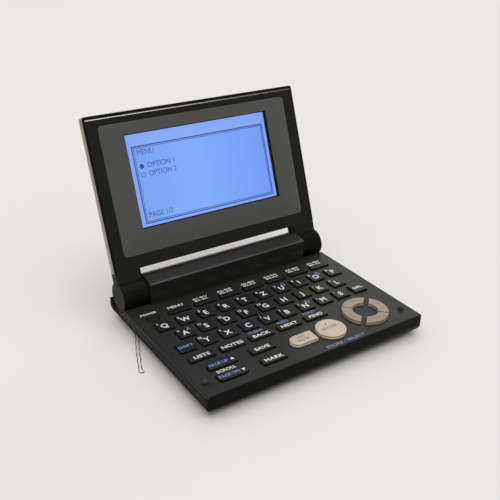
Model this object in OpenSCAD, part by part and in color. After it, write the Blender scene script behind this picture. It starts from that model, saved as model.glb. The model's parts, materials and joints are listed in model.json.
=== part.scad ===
// Pocket electronic dictionary with a hinged display lid, shown open on a table.
// Millimetres, +Z up. X runs along the hinge and +Y runs from the user to the hinge.
// The origin is on the table, under the middle of the open dictionary.
// Case frame: front edge at y = 0, keyboard surface at z = 0.
// Lid frame: hinge axis along X, +Y up the lid, +Z out of the display side.

/* [Case] */
// Width of the case
case_w = 110; // [106:0.5:124]
// Depth of the keyboard surface, from its front edge to the hinge trough
keyboard_d = 71.5; // [71:0.5:84]
// Height of the case from its underside to the keyboard surface
case_h = 9.2; // [8.6:0.1:12.4]
// Thickness of the lower case's walls and floor
wall = 1.3; // [1.1:0.1:1.7]
// Rim of the lower case that shows round the keyboard panel
rim = 0.7; // [0.5:0.05:0.8]
// Rounding of the edges underneath
under_r = 5.2; // [3.5:0.1:6]
// Rounding of the case's corners, seen from above
corner_r = 1; // [0.9:0.05:2]
// Reach of the case behind the hinge axis
case_tail = 9.4; // [9.2:0.1:11]
// Rounding of the case's rear edge underneath
rear_r = 9; // [8.6:0.1:9.8]
// Height of the rubber feet below the underside
foot_h = 0.6; // [0.5:0.1:1.5]
// Radius of a rubber foot
foot_r = 3.2; // [2.5:0.1:3.6]

/* [Hinge] */
// Height of the hinge axis above the keyboard surface
hinge_z = 3.6; // [3.5:0.1:4]
// Radius of the lid's hinge knuckles
knuckle_r = 6.6; // [6.3:0.1:6.8]
// Gap between a knuckle and its trough
knuckle_gap = 0.4; // [0.3:0.05:0.6]
// Length of a knuckle along the hinge
knuckle_l = 12; // [10:0.25:13]
// Angle of the lid above the keyboard as it stands in the photograph
open_angle = 110.8; // [60:0.1:150]
// Radius of the hinge cover's barrel
cover_r = 7.9; // [7.4:0.1:8.1]
// Height of the hinge cover's front edge above the keyboard surface
cover_edge_h = 10.2; // [9:0.1:10.4]
// Wall of the hinge cover
cover_wall = 1.2; // [1:0.1:1.4]
// Radius of a friction hinge's barrel
barrel_r = 2.65; // [2.4:0.05:2.7]
// Radius of a hinge shaft inside its barrel
shaft_r = 1.5; // [1.2:0.05:1.7]
// Radius of a hinge shaft's drive end, inside the knuckle
drive_r = 2; // [1.8:0.05:2.3]

/* [Lid] */
// How far the lid's sides lie inside the case's sides
lid_inset = 0.2; // [0.1:0.05:1]
// Thickness of the lid
lid_t = 6; // [5.6:0.1:7]
// Front face of the lid in front of the hinge axis
lid_front = 2.2; // [1.9:0.1:2.3]
// Reach of the closed lid past the front of the case
lid_over = 1.9; // [1.5:0.1:3]
// Wall of the lid shell's sides
lid_wall = 1; // [0.8:0.1:1.2]
// Wall of the lid shell's back
lid_back = 1.2; // [1:0.1:1.5]
// Rounding of the lid shell's back edges
lid_edge_r = 2.5; // [1.5:0.1:3]
// Rounding of the lid's top corners
lid_corner_r = 1.2; // [1:0.1:2]
// Distance from the hinge axis to the lid's lower edge between the knuckles
notch_h = 10.9; // [10.8:0.1:12]
// Thickness of the bezel plate
bezel_t = 2; // [1.8:0.1:2.2]

/* [Display] */
// Width of the bezel beside the display window
window_side = 6.1; // [5.3:0.1:7.5]
// Height of the bezel above the display window
window_top = 4.6; // [3.9:0.1:6.5]
// Thickness of the display window
window_t = 0.75; // [0.6:0.05:0.9]
// Distance from the hinge axis to the window's lower edge
window_low = 16.6; // [15.5:0.1:17.5]
// Printed border of the window beside the lit display
view_side = 11.7; // [10.5:0.1:16]
// Printed border of the window above the lit display
view_over = 5.4; // [4.6:0.1:9]
// Printed border of the window below the lit display
view_under = 10.8; // [9.6:0.1:16]
// Thickness of the display panel
lcd_t = 1.5; // [1.2:0.1:1.6]

/* [Keyboard] */
// Thickness of the keyboard panel
panel_t = 1.5; // [1.2:0.1:1.8]
// Room between the case's side and the letter rows' ten columns
letter_side = 4.25; // [4:0.05:6]
// Land between two letter keys of a row
letter_land = 2.85; // [2.4:0.05:4]
// Land between two letter rows
row_land = 2.45; // [2.2:0.05:4]
// Middle of the lowest letter row from the front edge
row_low = 33; // [32.6:0.1:34]
// Height of the dark keys above the panel
key_h = 0.85; // [0.4:0.05:1]
// Height of the power key above the panel
power_h = 0.4; // [0.3:0.05:0.8]
// Height of the silver keys above the panel
silver_h = 1.2; // [0.6:0.05:1.25]
// Travel of every key
key_travel = 0.8; // [0.4:0.05:0.9]
// Gap round each key in the panel
key_gap = 0.25; // [0.15:0.01:0.3]
// Land between two slim mode keys
mode_land = 2.25; // [2:0.05:4]
// Land between two function keys
function_land = 2.75; // [2.2:0.05:5]
// Diameter of the enter disc
enter_dia = 13.5; // [11:0.1:13.8]
// Outer diameter of the cursor ring
ring_dia = 21; // [18:0.1:21.4]
// Inner diameter of the cursor ring
ring_hole = 11.2; // [9:0.1:12]
// Wide gap between the cursor ring's keys, at its upper right and lower left
ring_gap = 2; // [1.6:0.1:2.6]
// Narrow seam between them, at its upper left and lower right
ring_seam = 0.5; // [0.4:0.05:0.8]

/* [Inside] */
// Thickness of the rubber key mat
mat_t = 0.7; // [0.5:0.05:0.8]
// Thickness of the main board
board_t = 1; // [0.8:0.1:1.1]
// Length of the battery cell with its nub
cell_l = 44.5; // [43:0.1:46]
// Radius of the battery cell
cell_r = 5.25; // [5:0.05:5.3]
// Travel of the battery door before it lifts off
door_travel = 6; // [5.5:0.1:6.5]
// Radius of a case screw's shank
screw_r = 1; // [0.8:0.05:1.1]
// Radius of a lid screw's shank
lid_screw_r = 0.8; // [0.6:0.05:0.9]

/* [Strap] */
// Diameter of the loop's cord
cord_dia = 0.45; // [0.4:0.01:0.46]

/* [Hidden] */

$fn = 48;

// Finishes
gloss_black = [0.05, 0.05, 0.05];
panel_grey = [0.17, 0.17, 0.16];
key_grey = [0.12, 0.12, 0.12];
silver = [0.72, 0.68, 0.62];
steel = [0.62, 0.63, 0.65];
rubber = [0.07, 0.07, 0.07];

// Small gaps shared by pieces that lie against each other
fit = 0.1;
seat = 0.05;

// Hinge line and troughs
trough_r = knuckle_r + knuckle_gap;
hinge_y = keyboard_d + sqrt(trough_r * trough_r - hinge_z * hinge_z);
lid_w = case_w - 2 * lid_inset;
knuckle_step = 0.2;
knuckle_side = 0.5;
knuckle_out = lid_w / 2 - knuckle_step;
knuckle_in = knuckle_out - knuckle_l;
cover_half = knuckle_in - knuckle_side;
trough_in = knuckle_in - knuckle_side / 2;
far = 200;

// Levels in the case frame
bottom_z = -case_h;
floor_z = bottom_z + wall;
lip_z = -0.8;
flange_t = 0.55;
flange_side = 0.7;
flange_top = -panel_t - seat;
flange_low = flange_top - flange_t;
dome_h = 0.25;
dome_r = 1.6;
dome_top = flange_low - key_travel - fit;
mat_top = dome_top - dome_h;
mat_low = mat_top - mat_t;
board_low = mat_low - board_t;

// Plan of the case
case_len = hinge_y + case_tail;
rear_mid_y = case_len - rear_r;
rear_mid_z = bottom_z + rear_r;
cover_lap = 1.5;
cover_step = 0.4;
inner_corner = 0.2;
cover_front = keyboard_d - cover_lap;
cover_back = case_len - cover_step;

// Placing the case and the lid at rest
lid_len = hinge_y + lid_over;
lid_behind = lid_t - lid_front;
rest_back = hinge_y - (lid_len - lid_edge_r) * cos(open_angle)
    + (lid_behind - lid_edge_r) * sin(open_angle) + lid_edge_r;
stand_z = case_h + foot_h;

module in_case() { translate([0, -rest_back / 2, stand_z]) children(); }
module in_lid() { in_case() translate([0, hinge_y, hinge_z]) rotate([180 - open_angle, 0, 0]) children(); }

// Draws its children on both sides of the middle
module both_sides() { children(); mirror([1, 0, 0]) children(); }

// Extrudes a side profile, drawn as (y, z), across the width from x0 to x1
module across(x0, x1) { translate([x0, 0, 0]) rotate([90, 0, 90]) linear_extrude(x1 - x0) children(); }

// Extrudes a front profile, drawn as (x, z), along Y from y0 to y1
module along(y0, y1) { translate([0, y1, 0]) rotate([90, 0, 0]) linear_extrude(y1 - y0) children(); }

// Extrudes a plan from z0 to z1
module up_from(z0, z1) { translate([0, 0, z0]) linear_extrude(z1 - z0) children(); }

// Rod along X from x0 to x1
module rod(x0, x1, r) { translate([x0, 0, 0]) rotate([0, 90, 0]) cylinder(h = x1 - x0, r = r); }

// Rectangle with round corners, centred
module round_rect(w, d, r) {
    square([w - 2 * r, d], center = true);
    square([w, d - 2 * r], center = true);
    for (sx = [-1, 1], sy = [-1, 1]) translate([sx * (w / 2 - r), sy * (d / 2 - r)]) circle(r);
}

// Front profile with its two lower corners round, z_low to z_high
module tray_front(half, z_low, z_high, r) {
    translate([-half, z_low + r]) square([2 * half, z_high - z_low - r]);
    translate([r - half, z_low]) square([2 * (half - r), 2 * r]);
    for (s = [-1, 1]) translate([s * (half - r), z_low + r]) circle(r);
}

// Side profile of the lower case, moved inwards by inset on every side
module case_side(inset) {
    translate([inset, bottom_z + under_r]) square([rear_mid_y - inset, far]);
    translate([under_r, bottom_z + inset]) square([rear_mid_y - under_r, far]);
    translate([under_r, bottom_z + under_r]) circle(under_r - inset);
    translate([rear_mid_y, rear_mid_z]) circle(rear_r - inset);
    if (rear_mid_z < lip_z)
        translate([rear_mid_y, rear_mid_z]) square([rear_r - inset, far]);
}

// The lower case's form, moved inwards by inset and open to a given height
module case_form(inset, top) {
    intersection() {
        along(-1, case_len + 1) tray_front(case_w / 2 - inset, bottom_z + inset, top, under_r - inset);
        across(-case_w, case_w) case_side(inset);
        up_from(bottom_z - 1, top) translate([0, case_len / 2])
            round_rect(case_w - 2 * inset, case_len - 2 * inset, max(corner_r - inset, inner_corner));
    }
}

// Plan of the keyboard panel, grown by g
module panel_plan(g = 0) {
    w = case_w - 2 * rim + 2 * g;
    r = corner_r - rim + g;
    translate([0, rim - g + w / 4]) round_rect(w, w / 2, r);
    translate([-w / 2, case_w / 4]) square([w, hinge_y - case_w / 4]);
}

// Battery place: the cell lies along the hinge, its nub towards +X
cell_y = hinge_y + 0.3;
cell_z = 0.3;
nub_l = 0.8;
nub_r = 1.9;
contact_t = 0.4;
contact_w = 8;
spring_room = 3;
rib_t = 1.2;
plus_rib = cell_l / 2 + contact_t + seat;
minus_rib = -cell_l / 2 - spring_room - contact_t - seat;

// Case screws: the panel's four, then the hinge cover's two beside the battery place
screw_side = 5.7;
screw_front = 6.5;
screw_back = 5;
screw_x = case_w / 2 - screw_side;
screw_l = 3.6;
screw_head_r = screw_r + 0.8;
screw_head_t = 1;
screw_bite = 0.02;
head_seat = bottom_z + 1.4;
boss_r = screw_r + 1.1;
boss_low = floor_z + 1.5;
post_r = boss_r + 0.7;
cover_screw_x = rib_t - minus_rib + boss_r + 0.95;
cover_screw_y = keyboard_d + 3;
screw_spots = concat([for (s = [-1, 1], y = [screw_front, keyboard_d - screw_back]) [s * screw_x, y]],
    [for (s = [-1, 1]) [s * cover_screw_x, cover_screw_y]]);

// Feet, and the board on its posts
foot_side = 12;
foot_front = 9;
foot_x = case_w / 2 - foot_side;
foot_spots = [for (s = [-1, 1], y = [foot_front, keyboard_d + 0.5]) [s * foot_x, y]];
board_side = 3;
board_front = 3;
board_back = 7;
board_x = case_w / 2 - board_side;
board_rear = keyboard_d - board_back;
board_mid = (board_front + board_rear) / 2;
board_post_r = 1.5;
post_side = 22;
post_front = 17;
post_back = 6.5;
board_spots = [for (x = [-1, 0, 1], y = [board_front + post_front, board_rear - post_back])
    [x * (board_x - post_side), y]];

// Battery door and its hooks
door_half = cell_l / 2 + 2.25;
door_front = keyboard_d - 5.5;
hook_y = door_front + 0.6;
hook_spare = 1;
hook_l = door_travel - hook_spare;
hook_play = 0.1;
claw_w = 2.4;
claw_top = floor_z + 1.8;
hook_low = floor_z + 0.6;
hook_top = floor_z + 1.15;
hook_web = 1.2;
hook_reach = 1.2;
saddle_x = 12;
saddle_l = 7;

// Pocket for the loop of cord, under the left rear corner
pocket_left = -case_w / 2 + 2.6;
pocket_w = 3.9;
pocket_front = keyboard_d - 1.8;
pocket_l = 4.4;
pocket_top = bottom_z + 2.3;
pocket_wall = 0.8;
anchor_l = 1.2;
anchor_low = bottom_z + 0.3;

module at_spots(spots) { for (p = spots) translate([p[0], p[1], 0]) children(); }

module lower_case() {
    color(gloss_black) in_case() difference() {
        union() {
            difference() {
                case_form(0, 0);
                lower_case_hollow();
                // seat of the keyboard panel
                up_from(-panel_t, 1) intersection() {
                    panel_plan(fit);
                    translate([-far, 0]) square([2 * far, hinge_y]);
                }
            }
            at_spots(screw_spots) translate([0, 0, floor_z - seat])
                cylinder(h = boss_low - floor_z, r = post_r);
            at_spots(board_spots) translate([0, 0, floor_z - seat])
                cylinder(h = board_low - floor_z + seat, r = board_post_r);
            both_sides() translate([door_half + fit, hook_y - 0.3, floor_z - seat])
                cube([claw_w, hook_l + 0.6, claw_top - floor_z + seat]);
            translate([pocket_left - pocket_wall, pocket_front - pocket_wall, floor_z - seat])
                cube([pocket_w + 2 * pocket_wall, pocket_l + 2 * pocket_wall,
                    pocket_top + pocket_wall - floor_z]);
        }
        // everything above the rear lip
        translate([-far, hinge_y, lip_z]) cube([2 * far, far, far]);
        translate([-cover_half - fit, cover_front - fit, lip_z]) cube([2 * (cover_half + fit), far, far]);
        both_sides() translate([0, hinge_y, hinge_z]) rod(trough_in, case_w, trough_r);
        // battery opening and the hooks' grooves
        translate([-door_half, door_front, bottom_z - 1]) cube([2 * door_half, far, far]);
        both_sides() translate([door_half - 1, hook_y - 1, hook_low - hook_play])
            cube([hook_reach + 1.2, hook_l + 2, hook_top - hook_low + 2 * hook_play]);
        at_spots(screw_spots) {
            translate([0, 0, bottom_z - 1]) cylinder(h = head_seat - bottom_z + 1, r = screw_head_r + fit);
            translate([0, 0, bottom_z]) cylinder(h = case_h, r = screw_r + fit);
        }
        translate([pocket_left, pocket_front, bottom_z - 1])
            cube([pocket_w, pocket_l, pocket_top - bottom_z + 1]);
    }
}

// Hollow of the lower case, which stays clear of the walls round the two troughs
module lower_case_hollow() {
    difference() {
        case_form(wall, 1);
        both_sides() {
            translate([0, hinge_y, hinge_z]) rod(trough_in - wall, case_w, trough_r + wall);
            translate([trough_in - wall, hinge_y, lip_z - wall]) cube([far, far, far]);
            translate([trough_in - wall, keyboard_d - 1, -panel_t]) cube([far, far, far]);
        }
    }
}

// Keys: [name, form, middle x, middle y, width, depth, height above the panel, finish]
// Rows are centred on the case, and y is measured from its front edge.
mode_back = 12.2;
mode_y = keyboard_d - mode_back;
mode_d = 2.9;
mode_room = 4.65;
row_pitch = (mode_y - row_low - mode_room + row_land / 2) / 2.5;
key_d = row_pitch - row_land;
key_pitch = (case_w - 2 * letter_side) / 10;
key_w = key_pitch - letter_land;
block_r = 0.5;
column = function (i) (i - 4.5) * key_pitch;
row_y = function (i) row_low + i * row_pitch;

// Power key, then the seven slim keys as far as the right margin
power_w = 6;
power_d = 4.2;
power_side = 5.2;
power_gap = 4.5;
power_x = -case_w / 2 + power_side + power_w / 2;
mode_side = 5.9;
mode_left = power_x + power_w / 2 + power_gap;
mode_right = case_w / 2 - mode_side;
mode_pitch = (mode_right - mode_left + mode_land) / 7;
mode_w = mode_pitch - mode_land;

// Cursor ring, enter disc and escape key, from the right
ring_side = 9.3;
ring_x = case_w / 2 - ring_side - ring_dia / 2;
ring_y = 15.5;
enter_gap = 5.05;
enter_x = ring_x - ring_dia / 2 - enter_gap - enter_dia / 2;
enter_y = 12.2;
escape_gap = 2.2;
escape_w = 12;
escape_d = 6.7;
escape_r = 0.6;
escape_x = enter_x - enter_dia / 2 - escape_gap - escape_w / 2;

// Five function keys between the left margin and the ring
function_side = 5.85;
function_gap = 4.85;
function_left = -case_w / 2 + function_side;
function_right = ring_x - ring_dia / 2 - function_gap;
function_pitch = (function_right - function_left + function_land) / 5;
function_w = function_pitch - function_land;
function_y = 24.1;
function_d = 4;

// Page keys at the left, and the pair of keys between them and the escape key
page_w = 13.2;
page_d = 4.2;
page_side = 9.4;
page_x = -case_w / 2 + page_side + page_w / 2;
pair_up = 16;
pair_down = 7.8;
pair_shift = 0.425;
pair_x = (page_x + page_w / 2 + escape_x - escape_w / 2) / 2 + pair_shift;

function dark_key(name, form, x, y, w, d) = [name, form, x, y, w, d, key_h, key_grey];
function silver_key(name, form, x, y, w, d) = [name, form, x, y, w, d, silver_h, silver];
ROW_NAMES = ["letter_row_bottom", "letter_row_middle", "letter_row_top"];
ROW_COLUMNS = [[for (i = [1:8]) i], [for (i = [0:8]) i + 0.5], [for (i = [0:9]) i]];
letter_keys = [for (r = [0:2]) [for (i = ROW_COLUMNS[r])
    dark_key(ROW_NAMES[r], "block", column(i), row_y(r), key_w, key_d)]];
cursor_names = ["cursor_up_key", "cursor_left_key", "cursor_down_key", "cursor_right_key"];
single_keys = concat(
    [["power_key", "half_moon", power_x, mode_y, power_w, power_d, power_h, key_grey]],
    [for (i = [1:7]) dark_key(str("mode_key_", i), "block", mode_left + mode_w / 2 + (i - 1) * mode_pitch,
        mode_y, mode_w, mode_d)],
    [dark_key("shift_key", "block", column(0), row_y(0), key_w, key_d),
     dark_key("delete_key", "block", column(9), row_y(0), key_w, key_d)],
    [for (i = [1:5]) dark_key(str("function_key_", i), "block",
        function_left + function_w / 2 + (i - 1) * function_pitch, function_y, function_w, function_d)],
    [dark_key("favourite_key", "block", pair_x, pair_up, function_w, page_d),
     dark_key("marker_key", "block", pair_x, pair_down, function_w, page_d),
     dark_key("page_up_key", "pill_top", page_x, pair_up, page_w, page_d),
     dark_key("page_down_key", "pill_bottom", page_x, pair_down, page_w, page_d),
     silver_key("escape_key", "shield", escape_x, enter_y, escape_w, escape_d),
     silver_key("enter_key", "disc", enter_x, enter_y, enter_dia, enter_dia)],
    [for (i = [0:3]) silver_key(cursor_names[i], str("arc_", i), ring_x, ring_y, ring_dia, ring_dia)]);
all_keys = concat(single_keys, letter_keys[0], letter_keys[1], letter_keys[2]);

// Outline of one key, grown by g. A cursor key keeps half a seam to its near neighbour.
module key_plan(k, g = 0, half_seam = ring_seam / 2) {
    w = k[4] + 2 * g;
    d = k[5] + 2 * g;
    translate([k[2], k[3]]) {
        if (k[1] == "block") round_rect(w, d, block_r + g);
        if (k[1] == "disc") circle(w / 2);
        if (k[1] == "half_moon") half_moon(k[4], k[5], g);
        if (k[1] == "pill_top") pill_half(w, d);
        if (k[1] == "pill_bottom") mirror([0, 1]) pill_half(w, d);
        if (k[1] == "shield") shield(w, d, g);
        for (i = [0:3]) if (k[1] == str("arc_", i)) rotate(i * 90) ring_arc(g, half_seam, i % 2 == 0);
    }
}

// Flat side up, round side towards the user
module half_moon(w, d, g) {
    intersection() {
        translate([0, (w - d) / 2]) circle(w / 2 + g);
        square([w + 2 * g, d + 2 * g], center = true);
    }
}

// Bar with its two upper corners round
module pill_half(w, d) {
    r = d * 0.45;
    intersection() {
        translate([0, -r]) round_rect(w, d + 2 * r, r);
        square([w, d], center = true);
    }
}

// Bar with a full round left end and a straight right end
module shield(w, d, g) {
    r = d / 2;
    translate([r - w / 2, 0]) circle(r);
    translate([r - w / 2, -r]) square([w / 2, d]);
    translate([w / 4, 0]) round_rect(w / 2, d, escape_r + g);
}

// One quarter of the cursor ring, at the top, with its seam on the left or on the right
module ring_arc(g, half_seam, seam_left) {
    half_gap = ring_gap / 2 - g;
    cut = seam_left ? [half_seam, half_gap] : [half_gap, half_seam];
    intersection() {
        difference() {
            circle(ring_dia / 2 + g, $fn = 96);
            circle(ring_hole / 2 - g);
        }
        rotate(45) translate(cut) square(ring_dia);
    }
}

// Cap that stands through the panel, on a flange that the panel holds down
module key_body(k) {
    color(k[7]) in_case() {
        up_from(flange_top - seat, k[6]) key_plan(k);
        up_from(flange_low, flange_top) key_plan(k, flange_side);
    }
}

module letter_row(r) { for (k = letter_keys[r]) key_body(k); }

module keyboard_panel() {
    color(panel_grey) in_case() difference() {
        union() {
            up_from(-panel_t, 0) difference() {
                panel_plan();
                translate([-cover_half - fit, cover_front - fit]) square([2 * (cover_half + fit), far]);
            }
            for (i = [0:3]) translate([screw_spots[i][0], screw_spots[i][1], boss_low])
                cylinder(h = -panel_t - boss_low + seat, r = boss_r);
        }
        both_sides() translate([0, hinge_y, hinge_z]) rod(trough_in, case_w, trough_r);
        for (k = all_keys) up_from(-panel_t - 1, 1) key_plan(k, key_gap, -fit);
        for (i = [0:3]) translate([screw_spots[i][0], screw_spots[i][1], boss_low - 1])
            cylinder(h = -panel_t - boss_low + 0.6, r = screw_r + screw_bite);
        at_spots(bumper_spots) translate([0, 0, -bumper_seat]) cylinder(h = 2, r = bumper_r);
    }
}

// Rubber dots that the closed lid rests against
bumper_r = 1.3;
bumper_seat = 0.8;
bumper_h = 1.2;
bumper_tip = 0.3;
bumper_side = 4.4;
bumper_front = 9;
bumper_spots = [for (s = [-1, 1]) [s * (case_w / 2 - bumper_side), bumper_front]];

module lid_bumpers() {
    color(rubber) in_case() at_spots(bumper_spots) {
        translate([0, 0, -bumper_seat]) cylinder(h = bumper_seat + bumper_h - bumper_tip, r = bumper_r);
        translate([0, 0, bumper_h - bumper_tip]) cylinder(h = bumper_tip, r = bumper_r - bumper_tip);
    }
}

// Hinge cover: distance and direction of a point from the hinge axis, and the tangent there
function axis_dist(p) = norm(p - [hinge_y, hinge_z]);
function axis_angle(p) = atan2(p[1] - hinge_z, p[0] - hinge_y);
function tangent_point(p, r, side) = let (a = axis_angle(p) + side * acos(r / axis_dist(p)))
    [hinge_y + r * cos(a), hinge_z + r * sin(a)];

// Side profile of the hinge cover, moved inwards by inset
module cover_side(inset) {
    r = cover_r - inset;
    low = lip_z + seat;
    front = [cover_front + inset, cover_edge_h - 1.1 * inset];
    back = [cover_back - 1.1 * inset, low];
    crown = tangent_point(front, r, -1);
    rear = tangent_point(back, r, 1);
    deeper = inset > 0 ? 1 : 0;
    intersection() {
        translate([hinge_y, hinge_z]) circle(r);
        translate([crown[0], rear[1]]) square(far);
    }
    polygon([[front[0], -panel_t - deeper], front, crown, rear, back, [back[0], low - deeper],
        [hinge_y, low - deeper], [hinge_y, -panel_t - deeper]]);
}

// Friction hinges in the ends of the cover, and the ribbon's roll beside the left one
barrel_l = 8.8;
barrel_from = cover_half - fit - barrel_l;
barrel_ribs = [barrel_from + 0.2, barrel_from + 3.2];
cable_r = 3.35;
cable_t = 0.3;
cable_play = 0.25;
roll_end = -cover_half + cover_wall + 0.6;

module cover_rib(x) {
    intersection() {
        across(x, x + rib_t) cover_side(cover_wall / 2);
        translate([x - 1, cover_front + 1.5, cell_z - 5])
            cube([rib_t + 2, cover_back - cover_front - 3.5, far]);
    }
}

module hinge_cover() {
    color(gloss_black) in_case() difference() {
        union() {
            difference() {
                across(-cover_half, cover_half) cover_side(0);
                across(-cover_half + cover_wall, cover_half - cover_wall) cover_side(cover_wall);
            }
            cover_rib(plus_rib);
            cover_rib(minus_rib - rib_t);
            both_sides() for (x = barrel_ribs) cover_rib(x);
            for (i = [4, 5]) translate([screw_spots[i][0], screw_spots[i][1], boss_low])
                cylinder(h = cover_edge_h - boss_low, r = boss_r);
        }
        both_sides() translate([0, hinge_y, hinge_z]) {
            rod(barrel_from - 1, cover_half - cover_wall - 0.5, barrel_r + seat);
            rod(cover_half - cover_wall - 1, case_w, cable_r + cable_play);
        }
        for (i = [4, 5]) translate([screw_spots[i][0], screw_spots[i][1], boss_low - 1])
            cylinder(h = 5, r = screw_r + screw_bite);
    }
}

// Closed end of a hinge's barrel
barrel_end = 1;

module hinge_barrels() {
    color(steel) in_case() both_sides() translate([0, hinge_y, hinge_z]) difference() {
        rod(barrel_from, barrel_from + barrel_l, barrel_r);
        rod(barrel_from + barrel_end, cover_half, shaft_r + seat);
    }
}

// The drive end of each shaft fills the knuckle's bore
drive_l = knuckle_l - 2.6;

module hinge_shafts() {
    color(steel) in_lid() both_sides() {
        rod(barrel_from + barrel_end + 0.2, knuckle_in + 0.2, shaft_r);
        rod(knuckle_in + fit, knuckle_in + drive_l, drive_r);
    }
}

module battery_cell() {
    color("goldenrod") in_case() translate([0, cell_y, cell_z]) {
        rod(-cell_l / 2, cell_l / 2 - nub_l, cell_r);
        rod(cell_l / 2 - nub_l - 0.2, cell_l / 2, nub_r);
    }
}

module battery_plate() {
    color(steel) in_case() translate([0, cell_y, cell_z]) {
        for (x = [plus_rib - contact_t, minus_rib])
            translate([x, -contact_w / 2, -contact_w / 2]) cube([contact_t, contact_w, contact_w]);
    }
}

// Tube through a list of points, as one closed polyhedron of flat rings
function unit(v) = v / norm(v);
function heading(p, i) = unit(p[min(i + 1, len(p) - 1)] - p[max(i - 1, 0)]);
function ring_at(p, i, r, sides, start) = let (t = heading(p, i), s = unit(cross(t, start)), u = cross(s, t))
    [for (a = [0:sides - 1]) p[i] + r * (cos(360 * a / sides) * s + sin(360 * a / sides) * u)];

module tube(p, r, sides, start = [0, 0, 1]) {
    n = len(p);
    points = [for (i = [0:n - 1]) each ring_at(p, i, r, sides, start)];
    skin = [for (i = [0:n - 2], a = [0:sides - 1]) let (b = (a + 1) % sides, k = i * sides)
        each [[k + a, k + b, k + sides + b], [k + a, k + sides + b, k + sides + a]]];
    first = [for (a = [sides - 1:-1:0]) a];
    last = [for (a = [0:sides - 1]) (n - 1) * sides + a];
    polyhedron(points, concat(skin, [first], [last]), convexity = 8);
}

// Coil between the minus contact and the cell
spring_turns = 2.5;
spring_r = 2.6;
spring_wire = 0.5;

module battery_spring() {
    x0 = minus_rib + contact_t + spring_wire / 2;
    x1 = -cell_l / 2 - spring_wire / 2;
    steps = 14 * spring_turns;
    coil = [for (i = [0:steps]) let (a = 360 * spring_turns * i / steps)
        [x0 + (x1 - x0) * i / steps, spring_r * cos(a), spring_r * sin(a)]];
    color(steel) in_case() translate([0, cell_y, cell_z]) tube(coil, spring_wire / 2, 6, [1, 0, 0]);
}

module battery_door() {
    color(gloss_black) in_case() {
        intersection() {
            difference() {
                case_form(0, lip_z - seat);
                case_form(wall, 1);
            }
            translate([-door_half + fit, door_front + fit, bottom_z - 1])
                cube([2 * (door_half - fit), far, far]);
        }
        both_sides() {
            translate([door_half - fit - hook_web, hook_y, floor_z - seat])
                cube([hook_web, hook_l, hook_top - floor_z + seat]);
            translate([door_half - fit - hook_web, hook_y, hook_low])
                cube([hook_web + hook_reach, hook_l, hook_top - hook_low]);
            translate([saddle_x, cell_y - saddle_l / 2, floor_z - seat])
                cube([rib_t, saddle_l, cell_z - cell_r - floor_z]);
        }
    }
}

// Plan of the board and of the mat, clear of the panel's bosses
module board_plan(y1) {
    difference() {
        translate([-board_x, board_front]) square([2 * board_x, y1 - board_front]);
        for (i = [0:3]) translate(screw_spots[i]) circle(boss_r + 0.4);
    }
}

module key_mat() {
    color([0.75, 0.75, 0.72]) in_case() {
        up_from(mat_low, mat_top) board_plan(board_rear - socket_l - 0.5);
        for (k = all_keys) translate([dome_x(k), dome_y(k), mat_top - seat])
            cylinder(h = dome_h + seat, r = min(dome_r, k[5] / 2 - 0.4), $fn = 24);
    }
}

// Rubber dome under a key: under its middle, or under the middle of a ring key's arc
ring_mid = (ring_dia + ring_hole) / 4;
function ring_turn(k) = [for (i = [0:3]) if (k[0] == cursor_names[i]) 90 + 90 * i];
function dome_x(k) = len(ring_turn(k)) > 0 ? k[2] + ring_mid * cos(ring_turn(k)[0]) : k[2];
function dome_y(k) = len(ring_turn(k)) > 0 ? k[3] + ring_mid * sin(ring_turn(k)[0]) : k[3];

module main_board() {
    color("darkgreen") in_case() {
        up_from(board_low, mat_low) board_plan(board_rear);
        translate([cable_x - board_cable_w, socket_y, mat_low - seat])
            cube([2 * board_cable_w, socket_l, socket_h + seat]);
    }
}

// Chips under the board: [middle x, y from the board's middle, width, depth]
chip_t = 1;
chips = [[-14, 2.25, 14, 14], [14, 6.25, 10, 12], [14, -9.75, 8, 8], [12 - board_x, 12.25, 6, 10]];

module board_chips() {
    color([0.1, 0.1, 0.1]) in_case() {
        for (c = chips) translate([c[0] - c[2] / 2, board_mid + c[1] - c[3] / 2, board_low - chip_t])
            cube([c[2], c[3], chip_t]);
    }
}

// Ribbon from the main board's rear edge up to the roll round the left shaft
board_cable_w = 2.1;
cable_x = roll_end + 0.3 + board_cable_w / 2;
socket_l = 1.5;
socket_y = board_rear - 0.1 - socket_l;
socket_h = 0.6;

module board_cable() {
    low = mat_low + socket_h;
    back = hinge_y - cable_r + cable_t;
    color([0.75, 0.5, 0.2]) in_case() translate([cable_x - board_cable_w / 2, 0, low]) {
        translate([0, socket_y, 0]) cube([board_cable_w, back - socket_y, cable_t]);
        translate([0, back - cable_t, 0]) cube([board_cable_w, cable_t, hinge_z - low]);
    }
}

module rubber_feet() {
    color(rubber) in_case() at_spots(foot_spots) {
        translate([0, 0, bottom_z - foot_h]) cylinder(h = foot_h, r = foot_r);
    }
}

module base_screws() {
    color(steel) in_case() at_spots(screw_spots) {
        translate([0, 0, head_seat - screw_head_t]) cylinder(h = screw_head_t, r = screw_head_r);
        translate([0, 0, head_seat - seat]) cylinder(h = screw_l, r = screw_r);
    }
}

module strap_anchor() {
    color(gloss_black) in_case()
        translate([pocket_left, pocket_front + pocket_l - anchor_l, anchor_low])
            cube([pocket_w, anchor_l, pocket_top - anchor_low]);
}

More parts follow.
